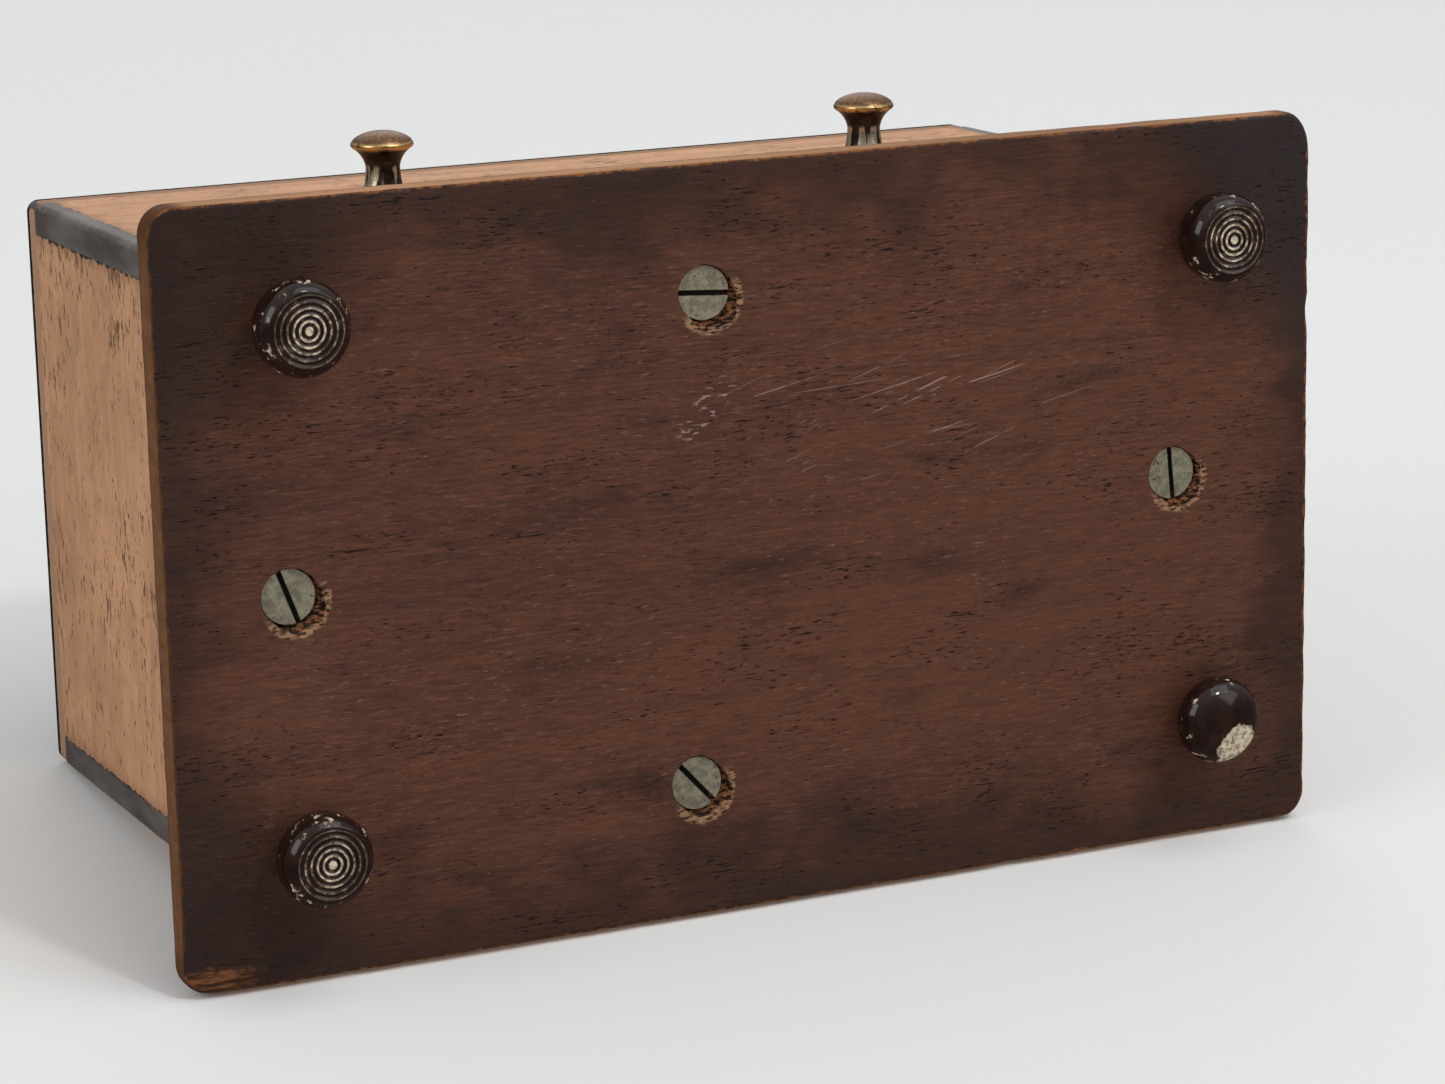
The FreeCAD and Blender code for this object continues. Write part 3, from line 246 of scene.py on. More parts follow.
def stained_wood(low, high, corner, screws):
    """The base plate's worn reddish stain, with open pores, a bare arris and torn screw seats."""
    g = Graph("base_wood")
    half_x, half_y = high.x / MM, high.y / MM
    edge = outline_distance(g, half_x, half_y, corner)
    bottom, top = low.z / MM, high.z / MM
    cloud = g.noise(20.0, (0.35, 1.0, 1.0), 4.0)
    streak = g.noise(2.2, (0.045, 1.0, 0.6), 4.0, 0.6)
    fibre = g.noise(0.34, (0.11, 1.0, 1.0, (7.0, 3.0, 1.0)), 3.0, 0.7)
    tone = g.plus(g.times(cloud, 0.5), g.times(streak, 0.5))
    colour = g.shade(tone, 0.36, 0.64, STAIN_BROWN, STAIN_RED)
    colour = g.mix(g.step(fibre, 0.48, 0.72, 0.0, 0.55), colour, scaled(STAIN_RED, 1.6))
    colour = g.mix(g.step(fibre, 0.30, 0.46, 0.5, 0.0), colour, STAIN_DARK)
    patch = g.noise(17.0, (0.8, 1.0, 1.0, (31.0, 9.0, 4.0)), 3.0)
    dusk = g.plus(edge, g.step(patch, 0.25, 0.75, -9.0, 9.0))
    colour = g.mix(g.step(dusk, -17.0, -1.0, 0.0, 0.62), colour, STAIN_DARK)
    beyond_x = g.plus(g.size(g.x), -half_x)
    beyond_y = g.plus(g.size(g.y), -half_y)
    corners = g.plus(g.length(beyond_x, beyond_y), g.step(patch, 0.25, 0.75, -12.0, 12.0))
    # the corner towards +X and +Y keeps more of its red
    spared = g.step(g.plus(g.x, g.times(g.y, 1.5)), 90.0, 150.0, 0.72, 0.15)
    colour = g.mix(g.times(g.fall(corners, 14.0, 34.0), spared), colour, STAIN_DARK)
    # the corner towards +X and -Y has gone cold and dark
    cool = g.step(g.plus(g.x, g.times(g.y, -0.6)), 92.0, 108.0, 0.0, 0.60)
    colour = g.mix(cool, colour, BLUISH_STAIN)
    warm = g.length(g.times(g.plus(g.x, -34.0), 0.5), g.plus(g.y, -10.0))
    colour = g.mix(g.step(warm, 8.0, 34.0, 0.25, 0.0), colour, scaled(STAIN_RED, 1.1))
    stain = g.noise(10.0, (0.35, 1.0, 1.0, (4.0, 40.0, 11.0)), 5.0, 0.65)
    colour = g.mix(g.step(stain, 0.52, 0.74, 0.0, 0.60), colour, STAIN_DARK)
    # pores: short dark dashes along the grain
    dash = g.noise(0.34, (0.17, 1.0, 0.3, (2.0, 5.0, 0.0)), 2.0, 0.6, 0.2)
    crowd = g.noise(7.0, (0.4, 1.0, 1.0, (1.0, 2.0, 3.0)), 2.0)
    pores = g.step(g.plus(dash, g.times(crowd, 0.42)), 0.860, 0.905)
    colour = g.mix(g.times(pores, 0.85), colour, PORE)
    # a few longer cracks, and pale fibres between the pores
    crack = g.noise(0.30, (0.045, 1.0, 0.3, (9.0, 1.0, 4.0)), 1.0)
    cracks = g.times(g.step(crack, 0.70, 0.74), g.step(crowd, 0.46, 0.60))
    colour = g.mix(g.times(cracks, 0.9), colour, PORE)
    fleck = g.noise(0.36, (0.15, 1.0, 0.3, (6.0, 4.0, 7.0)), 2.0, 0.6)
    flecks = g.times(g.step(fleck, 0.62, 0.70), g.step(patch, 0.42, 0.62, 0.3, 0.7))
    flecks = g.times(flecks, g.step(dusk, -17.0, -5.0, 1.0, 0.15))
    colour = g.mix(flecks, colour, PALE_FIBRE)
    # light scratches near the middle, towards the front
    hair = 0.0
    for turn, seed in ((0.20, 1.0), (0.33, 4.0), (0.04, 7.0)):
        lane = g.noise(0.42, (0.012, 1.0, 1.0, (seed, seed, seed), turn), 0.0)
        hair = g.most(hair, g.step(lane, 0.75, 0.785))
    zone_x = g.band(g.x, -4.0, 50.0, 12.0)
    zone_y = g.band(g.y, -25.0, -7.0, 6.0)
    broken = g.step(g.noise(3.2, (0.4, 1.0, 1.0, (9.0, 2.0, 6.0))), 0.47, 0.54)
    scuff_grain = g.noise(0.42, (0.16, 1.0, 1.0, (5.0, 2.0, 8.0), 0.3), 1.0)
    scuff_zone = g.step(g.noise(5.5, (0.6, 1.0, 1.0, (6.0, 6.0, 1.0))), 0.56, 0.70)
    scuff = g.times(g.step(scuff_grain, 0.60, 0.72), scuff_zone)
    marks = g.times(zone_x, zone_y, g.most(g.times(hair, broken), g.times(scuff, 0.9)))
    # a slanting cluster of short nicks
    nick_x, nick_y = g.plus(g.x, 10.0), g.plus(g.y, 19.5)
    nick_along = g.size(g.plus(g.times(nick_x, 0.7), g.times(nick_y, -0.7)))
    nick_across = g.size(g.plus(g.times(nick_x, 0.7), g.times(nick_y, 0.7)))
    nick_zone = g.times(g.fall(nick_along, 4.0, 6.5), g.fall(nick_across, 1.2, 2.4))
    nicks = g.step(g.noise(0.62, (0.32, 1.0, 1.0, (8.0, 8.0, 2.0)), 1.0), 0.58, 0.63)
    marks = g.most(marks, g.times(nick_zone, nicks))
    specks = g.times(g.step(g.noise(0.7, None, 1.0), 0.74, 0.80), g.step(g.noise(12.0), 0.5, 0.65))
    marks = g.most(marks, g.times(specks, 0.5))
    colour = g.mix(g.times(marks, 0.72), colour, SCRATCH)
    # bare wood where the screws' seats were cut, with near-black patches in it as painted shade in the
    # recess round each head
    seat = g.times(g.band(g.z, bottom + 0.15, bottom + 2.2, 0.1), g.fall(edge, -4.0, -3.0))
    splinter = g.noise(0.45, (0.35, 1.0, 0.8), 4.0, 0.65)
    seat_wood_and_shade = g.shade(splinter, 0.46, 0.60, scaled(BARE_ORANGE, 0.03), scaled(BARE_ORANGE, 0.75))
    torn = g.noise(0.8, (0.5, 1.0, 1.0, (2.0, 9.0, 1.0)), 4.0, 0.75)
    crescent = 0.0
    for centre in screws:
        beside, behind = g.plus(g.x, -centre.x), g.plus(g.y, -centre.y)
        reach = g.plus(g.length(g.plus(beside, -0.9), g.plus(behind, -0.9)), g.times(torn, 1.6))
        way = g.plus(g.times(beside, 0.5), g.times(behind, 0.85))
        crescent = g.most(crescent, g.times(g.band(reach, 4.7, 5.9, 0.2), g.step(way, 0.2, 2.4)))
    chewed = g.shade(splinter, 0.40, 0.56, scaled(BARE_ORANGE, 0.07), scaled(BARE_TAN, 0.65))
    colour = g.mix(g.times(crescent, 0.9), colour, chewed)
    colour = g.mix(seat, colour, seat_wood_and_shade)
    # the bare arris round the lower face, and the lighter edge of the board
    wear = g.noise(2.0, g.moved(8.0, 1.0, 2.0), 4.0, 0.65)
    drop = g.plus(g.z, -bottom)
    near = g.length(g.most(g.times(edge, -1.0), 0.0), g.most(drop, 0.0))
    frayed = g.noise(0.7, (0.6, 0.6, 1.0, (1.0, 6.0, 2.0)), 3.0, 0.7)
    worn = g.plus(g.times(wear, -0.9), g.times(frayed, -0.35))
    right = g.step(g.x, half_x - 3.0, half_x - 1.0, 0.0, -0.25)
    bare = g.fall(g.plus(near, worn, right), -0.33, -0.15)
    chip_x = g.plus(g.x, half_x - 3.0)
    chip_y = g.plus(g.y, 1.5 - half_y)
    chip = g.plus(g.length(g.times(chip_x, 0.25), g.times(chip_y, 0.85)), g.times(wear, 3.0))
    chip = g.step(chip, 2.8, 3.8, 0.9, 0.0)
    orange = g.shade(frayed, 0.36, 0.66, scaled(BARE_ORANGE, 0.16), scaled(BARE_ORANGE, 0.75))
    front = g.step(g.y, 10.0 - half_y, 3.0 - half_y)
    orange = g.mix(g.times(front, g.step(wear, 0.4, 0.6)), orange, scaled(BARE_ORANGE, 0.8))
    end_side = g.step(g.x, 3.0 - half_x, 1.0 - half_x, 0.0, 0.8)
    orange = g.mix(end_side, orange, scaled(BARE_ORANGE, 0.30))
    lay = g.noise(0.9, (0.12, 1.0, 1.0, (3.0, 3.0, 1.0)), 4.0, 0.7)
    split_wood = g.shade(lay, 0.38, 0.62, scaled(BARE_ORANGE, 0.14), scaled(BARE_ORANGE, 0.75))
    side = g.times(g.step(edge, -0.22, -0.10), g.step(drop, 0.10, 0.30))
    side_tone = g.shade(streak, 0.35, 0.7, scaled(BARE_TAN, 0.62), BARE_TAN)
    # painted shade: the side face darkens towards its top, next to the case; it is also darker round
    # the rounded corners
    case_edge_shade = g.step(g.plus(g.z, g.times(wear, 1.6)), top - 0.5, top + 0.5)
    round_corner = g.times(
        g.step(g.size(g.x), half_x - corner - 3.0, half_x - corner + 1.0),
        g.step(g.size(g.y), half_y - corner - 5.0, half_y - corner + 1.0),
    )
    side_tone = g.mix(g.most(g.times(case_edge_shade, 0.9), g.times(round_corner, 0.75)), side_tone, STAIN_DARK)
    side_tone = g.mix(end_side, side_tone, scaled(BARE_ORANGE, 0.35))
    colour = g.mix(bare, colour, orange)
    colour = g.mix(chip, colour, split_wood)
    colour = g.mix(g.times(side, 0.94), colour, side_tone)
    rough = g.blend(g.noise(6.0, None, 4.0), 0.36, 0.58)
    rough = g.plus(rough, g.times(g.most(bare, seat), 0.2))
    rough = g.plus(rough, g.times(side, 0.3))
    waves = g.times(g.noise(5.0, None, 3.0), 0.8)
    cut = g.plus(g.times(marks, -0.6), g.times(seat, splinter, 3.0))
    height = g.plus(g.times(fibre, 0.35), g.times(pores, -1.0), waves, cut)
    shine = g.blend(g.most(side, bare), 0.14, 0.02)
    return g.finish(colour, rough, 0.0, g.bump(height, 0.10, 0.8), Specular_IOR_Level=shine)


def veneer(name, along, across, inked, ink_edge, bright):
    """The case's tan veneer, with pores along its grain and the black of the beads run over its
    edges. inked says which axis those edges lie across, and ink_edge where they are."""
    g = Graph(name)
    streak = g.noise(2.4, along, 4.0, 0.6)
    cloud = g.noise(22.0, None, 4.0)
    tone = g.plus(g.times(streak, 0.5), g.times(cloud, 0.5))
    # bright gives a lighter copy of the veneer, which is painted light on the front and back panels
    low_tone, high_tone = scaled(VENEER_DARK, bright), scaled(VENEER_LIGHT, bright)
    colour = g.shade(tone, 0.34, 0.66, low_tone, high_tone)
    fibre = g.noise(0.45, (*along, (3.0, 8.0, 2.0)), 3.0, 0.6)
    colour = g.mix(g.step(fibre, 0.3, 0.8, 0.0, 0.3), colour, scaled(VENEER_LIGHT, 1.2))
    dash = g.noise(0.58, (*across, (2.0, 5.0, 0.0)), 2.0, 0.6, 0.2)
    crowd = g.noise(10.0, g.moved(5.0, 2.0, 3.0), 3.0)
    pores = g.step(g.plus(dash, g.times(crowd, 0.50)), 0.865, 0.915)
    colour = g.mix(g.times(pores, 0.85), colour, scaled(VENEER_DARK, 0.27))
    grime = g.noise(8.0, g.moved(1.0, 7.0, 3.0), 4.0, 0.65)
    colour = g.mix(g.step(grime, 0.50, 0.78, 0.0, 0.45), colour, scaled(VENEER_DARK, 0.55))
    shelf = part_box("left_panel")[0].z / MM
    ragged = g.noise(1.3, g.moved(3.0, 3.0, 3.0), 4.0, 0.7)
    out = g.size(getattr(g, inked))
    ink = g.step(g.plus(out, g.times(ragged, 2.6)), ink_edge + 1.0, ink_edge + 1.2)
    soot = g.step(g.plus(out, g.times(ragged, 3.0)), ink_edge - 1.0, ink_edge + 2.2, 0.0, 0.5)
    colour = g.mix(soot, colour, scaled(VENEER_DARK, 0.45))
    # painted shade: the panel darkens along its lowest edge, next to the base plate
    foot = g.step(g.plus(g.z, g.times(ragged, -1.5)), shelf - 0.5, shelf + 1.0, 0.75, 0.0)
    colour = g.mix(foot, colour, scaled(VENEER_DARK, 0.25))
    colour = g.mix(ink, colour, BLACK_PAINT)
    height = g.plus(g.times(fibre, 0.3), g.times(pores, -0.8), g.times(cloud, 0.5))
    rough = g.blend(ink, g.blend(cloud, 0.48, 0.66), 0.36)
    return g.finish(colour, rough, 0.0, g.bump(height, 0.08, 0.7), Specular_IOR_Level=0.18)


def black_bead():
    """Ebonised corner beads: satin, scuffed, with a little brown wood through on the arris."""
    g = Graph("black_bead")
    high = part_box("corner_beads")[1]
    cloud = g.noise(7.0, (1.0, 1.0, 0.4), 4.0, 0.6)
    grain = g.noise(0.5, (1.0, 1.0, 0.06), 3.0)
    corner_x = g.plus(g.size(g.x), -high.x / MM)
    corner_y = g.plus(g.size(g.y), -high.y / MM)
    near = g.length(corner_x, corner_y)
    chips = g.noise(1.6, (1.0, 1.0, 0.5, (2.0, 1.0, 0.0)), 4.0, 0.65)
    worn = g.times(g.fall(near, 0.5, 1.3), g.step(chips, 0.52, 0.64))
    colour = g.shade(cloud, 0.3, 0.7, scaled(BLACK_PAINT, 2.6), (0.125, 0.112, 0.100))
    colour = g.mix(g.step(chips, 0.66, 0.76, 0.0, 0.5), colour, (0.09, 0.06, 0.045))
    colour = g.mix(g.times(worn, 0.8), colour, (0.17, 0.12, 0.09))
    height = g.plus(g.times(grain, 0.4), g.times(chips, 0.7))
    rough = g.blend(cloud, 0.30, 0.48)
    return g.finish(colour, rough, 0.0, g.bump(height, 0.10, 0.6), Specular_IOR_Level=0.45)


def soft_wood():
    """The bare softwood of the battens and blocks inside."""
    g = Graph("inner_wood")
    bands = g.noise(3.5, (0.08, 1.0, 1.0), 3.0, 0.5, 0.4)
    fibre = g.noise(0.4, (0.06, 1.0, 1.0), 3.0)
    colour = g.shade(bands, 0.35, 0.65, (0.58, 0.40, 0.21), (0.42, 0.25, 0.11))
    colour = g.mix(g.step(fibre, 0.35, 0.8, 0.0, 0.3), colour, (0.30, 0.17, 0.08))
    return g.finish(colour, 0.7, 0.0, g.bump(g.plus(bands, g.times(fibre, 0.6)), 0.10, 0.6))


# --- materials: feet, metal and the rest ---

FOOT_PITCH = 0.88
FOOT_RINGS = 6


def foot_lacquer(name, seed, patch=None):
    """Dark lacquer over a cream ground. The ground shows on the crests of the rings, or in one
    worn patch on a plain foot, given by its x, y and radius, and where the rim and the collar
    are chipped."""
    g = Graph(name)
    shift = (seed * 13.0, seed * 7.0, seed * 3.0)
    radius = g.length(g.x, g.y)
    fleck = g.noise(0.9, g.moved(*shift), 4.0, 0.65)
    broad = g.noise(2.6, g.moved(*shift), 3.0, 0.6)
    if patch is None:
        rim = FOOT_PITCH * FOOT_RINGS
        wave = g.math("COSINE", g.times(radius, 2 * math.pi / FOOT_PITCH))
        middle = g.fall(radius, FOOT_PITCH * 0.45, FOOT_PITCH * 0.6)
        thin = g.plus(wave, g.times(g.plus(radius, g.times(broad, 3.0)), 0.09))
        crest = g.most(g.fall(thin, -0.35, 0.10), middle)
        keep = g.plus(g.times(fleck, 0.5), g.times(broad, 0.8))
        fade = g.step(g.plus(keep, g.times(radius, -0.085)), 0.26, 0.60)
        face = g.times(g.fall(radius, rim - 0.25, rim), g.fall(g.z, 0.3, 0.5))
        bare = g.times(crest, face, g.blend(fade, 0.13, 1.0))
    else:
        away = g.length(g.plus(g.x, -patch[0]), g.plus(g.y, -patch[1]))
        ragged = g.plus(away, g.plus(g.times(fleck, 2.0), g.times(broad, 1.6)))
        bare = g.times(g.fall(ragged, patch[2] + 1.55, patch[2] + 1.8), g.fall(g.z, 3.0, 3.6))
    chipped = g.plus(g.times(fleck, 0.45), g.times(broad, 0.55))
    ring_zone = g.band(g.z, 0.4 if patch is None else 2.1, 3.6, 0.4)
    chips = g.times(ring_zone, g.step(chipped, 0.575, 0.60))
    collar = g.times(g.step(g.z, 7.6, 8.3), g.step(chipped, 0.53, 0.57))
    chips = g.most(chips, collar)
    cream = g.shade(fleck, 0.35, 0.62, CREAM_DIRTY, CREAM)
    red = g.shade(broad, 0.35, 0.7, LACQUER, scaled(LACQUER, 2.2))
    colour = g.mix(g.most(bare, g.times(chips, 0.85)), red, cream)
    rough = g.blend(g.most(bare, chips), g.blend(fleck, 0.05, 0.15), 0.5)
    dents = g.plus(g.times(fleck, 0.5), g.times(chips, -1.2))
    return g.finish(colour, rough, 0.0, g.bump(dents, 0.05, 0.5), Specular_IOR_Level=0.34)


def screw_steel():
    """Dull, pitted steel, its slots painted near-black as painted shade."""
    g = Graph("screw_steel")
    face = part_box("base_screws")[0].z / MM
    cloud = g.noise(1.6, None, 5.0, 0.7)
    pits = g.step(g.noise(0.45, None, 3.0, 0.65), 0.58, 0.68)
    fine = g.noise(0.22, (0.12, 1.0, 1.0, (0.0, 0.0, 0.0), 0.7), 2.0)
    colour = g.shade(cloud, 0.38, 0.62, scaled(STEEL, 0.6), STEEL)
    colour = g.mix(g.times(pits, 0.6), colour, STEEL_DARK)
    colour = g.mix(g.step(fine, 0.55, 0.75, 0.0, 0.35), colour, scaled(STEEL, 1.5))
    rust = g.step(g.noise(1.0, g.moved(4.0, 4.0, 4.0), 2.0), 0.66, 0.70)
    colour = g.mix(g.times(rust, 0.75), colour, RUST)
    # painted shade: the slot below the head's face is painted near-black
    slot_shade = g.step(g.z, face + 0.03, face + 0.30)
    colour = g.mix(slot_shade, colour, (0.006, 0.005, 0.004))
    rough = g.plus(g.blend(cloud, 0.40, 0.58), g.times(slot_shade, 0.3))
    metal = g.blend(slot_shade, 0.75, 0.0)
    height = g.plus(g.times(pits, -1.0), g.times(fine, 0.4))
    return g.finish(colour, rough, metal, g.bump(height, 0.05, 0.7))


def knob_brass(name, seed, rim_low, rim_high, rim_radius):
    """Tarnished brass, rubbed bright and painted with a highlight round a terminal knob's rim."""
    g = Graph(name)
    shift = (seed * 11.0, seed * 5.0, seed * 2.0)
    radius = g.length(g.x, g.y)
    cloud = g.noise(1.8, g.moved(*shift), 4.0, 0.6)
    speck = g.noise(0.4, g.moved(*shift), 3.0, 0.6)
    turned = g.noise(0.16, (0.02, 0.02, 1.0, shift), 1.0)
    colour = g.shade(cloud, 0.40, 0.70, scaled(BRASS_DARK, 0.6), (0.038, 0.025, 0.021))
    top = g.step(g.z, rim_high - 0.1, rim_high + 0.5)
    dull = g.shade(speck, 0.4, 0.65, scaled(BRASS_BROWN, 0.9), scaled(BRASS_BROWN, 1.9))
    colour = g.mix(top, colour, dull)
    height = g.plus(g.z, g.times(cloud, 0.9))
    # the rim band: rubbed brass, whose bright gold is also a painted highlight
    rim = g.times(
        g.band(height, rim_low + 0.40, rim_high + 0.45, 0.3),
        g.step(radius, rim_radius - 0.7, rim_radius - 0.2),
    )
    rub_and_highlight = g.step(g.plus(cloud, g.times(speck, 0.4)), 0.50, 0.72, 0.25, 1.0)
    colour = g.mix(g.times(rim, rub_and_highlight), colour, RUBBED_GOLD_AND_HIGHLIGHT)
    # painted reflection: pale vertical streaks low on the neck
    reflection_streaks = g.noise(1.2, (1.0, 1.0, 0.12, shift), 2.0)
    foot = g.times(g.fall(g.z, rim_low - 3.4, rim_low - 2.2), g.step(reflection_streaks, 0.50, 0.58))
    colour = g.mix(g.times(foot, 0.85), colour, NECK_REFLECTION)
    bright = g.most(top, rim, foot)
    metal = g.blend(bright, 0.20, 0.95)
    shine = g.blend(bright, 0.10, 0.5)
    rough = g.blend(top, g.blend(cloud, 0.17, 0.32), 0.42)
    marks = g.plus(g.times(speck, 0.6), g.times(turned, 0.35))
    return g.finish(colour, rough, metal, g.bump(marks, 0.03, 0.5), Specular_IOR_Level=shine)


def brass(name, bright, rough_low=0.20, rough_high=0.38):
    """Lacquered or tarnished brass; bright runs from 0, brown, to 1, clean."""
    g = Graph(name)
    cloud = g.noise(3.2, None, 4.0, 0.62)
    speck = g.noise(0.6, None, 3.0, 0.6)
    fine = g.noise(0.18, (1.0, 1.0, 0.08), 2.0)
    brown = g.shade(cloud, 0.35, 0.65, scaled(BRASS_BROWN, 0.8), scaled(BRASS_BROWN, 1.6))
    clean = g.shade(speck, 0.35, 0.7, scaled(BRASS_PLAIN, 0.8), scaled(BRASS_PLAIN, 1.1))
    share = g.step(g.plus(cloud, bright - 0.5), 0.25, 0.75)
    colour = g.mix(share, brown, clean)
    rough = g.blend(cloud, rough_low, rough_high)
    marks = g.plus(g.times(speck, 0.4), g.times(fine, 0.4))
    return g.finish(colour, rough, 1.0, g.bump(marks, 0.03, 0.4))


def ebonite(name, sheet_box=None):
    """Polished ebonite, a little browned, with dust and hair scratches. A sheet's sawn edge is
    dull and is the veneer's colour below a thin dark line."""
    g = Graph(name)
    cloud = g.noise(18.0, None, 4.0, 0.6)
    dust = g.step(g.noise(0.5, None, 2.0), 0.66, 0.74)
    lane = g.size(g.plus(g.noise(14.0, (0.3, 1.0, 1.0, (1.0, 2.0, 3.0), 0.5), 1.0), -0.5))
    other = g.size(g.plus(g.noise(11.0, (0.3, 1.0, 1.0, (5.0, 2.0, 3.0), -0.9), 1.0), -0.5))
    hair = g.most(g.fall(lane, 0.0, 0.0025), g.fall(other, 0.0, 0.002))
    hair = g.times(hair, g.step(g.noise(6.0), 0.5, 0.6))
    colour = g.shade(cloud, 0.35, 0.7, (0.012, 0.011, 0.011), (0.032, 0.022, 0.016))
    colour = g.mix(g.times(dust, 0.12), colour, (0.30, 0.28, 0.25))
    colour = g.mix(g.times(hair, 0.25), colour, (0.22, 0.20, 0.18))
    rough = g.plus(g.blend(g.noise(4.0, None, 4.0), 0.16, 0.34), g.times(dust, 0.2))
    height = g.plus(g.noise(9.0, None, 2.0), g.times(hair, -0.3))
    shine = 0.6
    if sheet_box is not None:
        high = sheet_box[1]
        out_x = g.plus(g.size(g.x), -high.x / MM)
        out_y = g.plus(g.size(g.y), -high.y / MM)
        sawn = g.step(g.most(out_x, out_y), -0.25, -0.12)
        ragged = g.plus(g.z, g.noise(1.2, None, 4.0, 0.7))
        dusty = g.fall(ragged, high.z / MM - 0.8, high.z / MM - 0.6)
        edge_colour = g.mix(dusty, (0.010, 0.008, 0.007), VENEER_DUST)
        colour = g.mix(sawn, colour, edge_colour)
        rough = g.blend(sawn, rough, 0.8)
        shine = g.blend(sawn, shine, 0.05)
    return g.finish(colour, rough, 0.0, g.bump(height, 0.06, 0.4), Specular_IOR_Level=shine)


def ivorine():
    """Aged ivory plastic for the scale, yellowed towards its rim."""
    g = Graph("ivorine")
    low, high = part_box("scale_plate")
    middle = (low + high) / 2 / MM
    out = g.length(g.plus(g.x, -middle.x), g.plus(g.y, -middle.y))
    cloud = g.noise(9.0, None, 4.0, 0.6)
    figure = g.noise(1.2, (0.07, 1.0, 1.0), 3.0, 0.6)
    colour = g.shade(cloud, 0.35, 0.7, (0.70, 0.61, 0.42), (0.80, 0.73, 0.56))
    colour = g.mix(g.step(figure, 0.35, 0.75, 0.0, 0.25), colour, (0.60, 0.49, 0.30))
    colour = g.mix(g.step(out, 23.5, 26.0, 0.0, 0.5), colour, (0.47, 0.34, 0.17))
    rough = g.blend(cloud, 0.30, 0.45)
    return g.finish(colour, rough, 0.0, g.bump(figure, 0.03, 0.4), Subsurface_Weight=0.05)


def scale_ink():
    """Black wax in the engraved scale."""
    g = Graph("scale_ink")
    worn = g.noise(0.6, None, 3.0)
    colour = g.shade(worn, 0.55, 0.8, (0.012, 0.011, 0.010), (0.08, 0.07, 0.06))
    return g.finish(colour, 0.5)


def tin():
    g = Graph("tinned_copper")
    cloud = g.noise(1.8, None, 4.0)
    colour = g.shade(cloud, 0.35, 0.7, (0.38, 0.36, 0.33), (0.62, 0.60, 0.57))
    return g.finish(colour, g.blend(cloud, 0.25, 0.45), 1.0, g.bump(cloud, 0.05, 0.5))


def card():
    g = Graph("card")
    cloud = g.noise(8.0, None, 4.0)
    fibre = g.noise(0.5, (0.3, 0.3, 1.0), 3.0)
    colour = g.shade(cloud, 0.35, 0.7, (0.085, 0.040, 0.018), (0.15, 0.075, 0.035))
    return g.finish(colour, g.blend(cloud, 0.32, 0.5), 0.0, g.bump(fibre, 0.06, 0.5))


def winding(name, axis):
    """Enamelled wire wound in even turns along an axis, a pitch apart."""
    pitch = 0.62
    g = Graph(name)
    turn = g.size(g.math("SINE", g.times(getattr(g, axis), math.pi / pitch)))
    tone = g.noise(0.6, None, 2.0)
    colour = g.shade(tone, 0.35, 0.7, (0.24, 0.060, 0.018), (0.38, 0.11, 0.035))
    # painted shade: dark lines in the grooves between the turns
    colour = g.mix(g.step(turn, 0.0, 0.45, 0.85, 0.0), colour, (0.03, 0.010, 0.006))
    return g.finish(colour, 0.28, 0.35, g.bump(turn, 0.28, 1.0), Coat_Weight=0.5)


def galena():
    """Lead ore: bright cleavage steps and a dull broken skin."""
    g = Graph("galena")
    steps = g.cells(0.9, (1.0, 0.8, 1.3), "F1")
    facets = g.cells(1.4, g.moved(2.0, 1.0, 4.0), "DISTANCE_TO_EDGE")
    skin = g.noise(0.5, None, 4.0, 0.7)
    colour = g.shade(skin, 0.4, 0.65, (0.16, 0.165, 0.185), (0.50, 0.51, 0.55))
    rough = g.blend(g.step(skin, 0.4, 0.6), 0.22, 0.48)
    height = g.plus(steps, g.times(facets, 0.8))
    return g.finish(colour, rough, 0.9, g.bump(height, 0.25, 0.9))


def mica():
    g = Graph("mica_block")
    layers = g.noise(0.18, (0.05, 0.05, 1.0), 2.0)
    cloud = g.noise(5.0, None, 4.0)
    colour = g.shade(cloud, 0.35, 0.7, (0.22, 0.14, 0.06), (0.33, 0.22, 0.10))
    colour = g.mix(g.step(layers, 0.4, 0.7, 0.0, 0.4), colour, (0.12, 0.08, 0.04))
    return g.finish(colour, 0.4, 0.0, g.bump(layers, 0.05, 0.5), Coat_Weight=0.3)


def sleeving():
    """Woven cotton sleeving."""
    g = Graph("wire_sleeve")
    weave = g.cells(0.34)
    cloud = g.noise(4.0, None, 3.0)
    colour = g.shade(weave, 0.15, 0.55, (0.045, 0.10, 0.040), (0.015, 0.035, 0.015))
    colour = g.mix(g.step(cloud, 0.45, 0.75, 0.0, 0.4), colour, (0.10, 0.11, 0.06))
    return g.finish(colour, 0.85, 0.0, g.bump(weave, 0.08, 1.0), Sheen_Weight=0.3)


# --- pieces ---


def add_object(name, data):
    obj = bpy.data.objects.new(name, data)
    bpy.context.scene.collection.objects.link(obj)
    return obj


def link(name, mesh, material, place=(0, 0, 0), turn=None):
    """Make an object of a mesh whose vertices are in metres."""
    mesh.materials.append(material)
    obj = add_object(name, mesh)
    obj.location = place
    if turn is not None:
        obj.rotation_euler = turn.to_euler()
    return obj


def close_mesh(made, name, crease=None):
    """Turn a bmesh into a mesh, smooth but for edges sharper than the crease in degrees."""
    if crease is not None:
        bmesh.ops.recalc_face_normals(made, faces=made.faces)
    mesh = bpy.data.meshes.new(name)
    made.to_mesh(mesh)
    made.free()
    if crease is not None:
        mesh.shade_smooth()
        mesh.set_sharp_from_angle(angle=math.radians(crease))
    return mesh


def bridge(made, rings):
    """Faces between closed rings of equally many vertices."""
    for first, second in zip(rings, rings[1:]):
        for index in range(len(first)):
            after = (index + 1) % len(first)
            made.faces.new((first[index], first[after], second[after], second[index]))


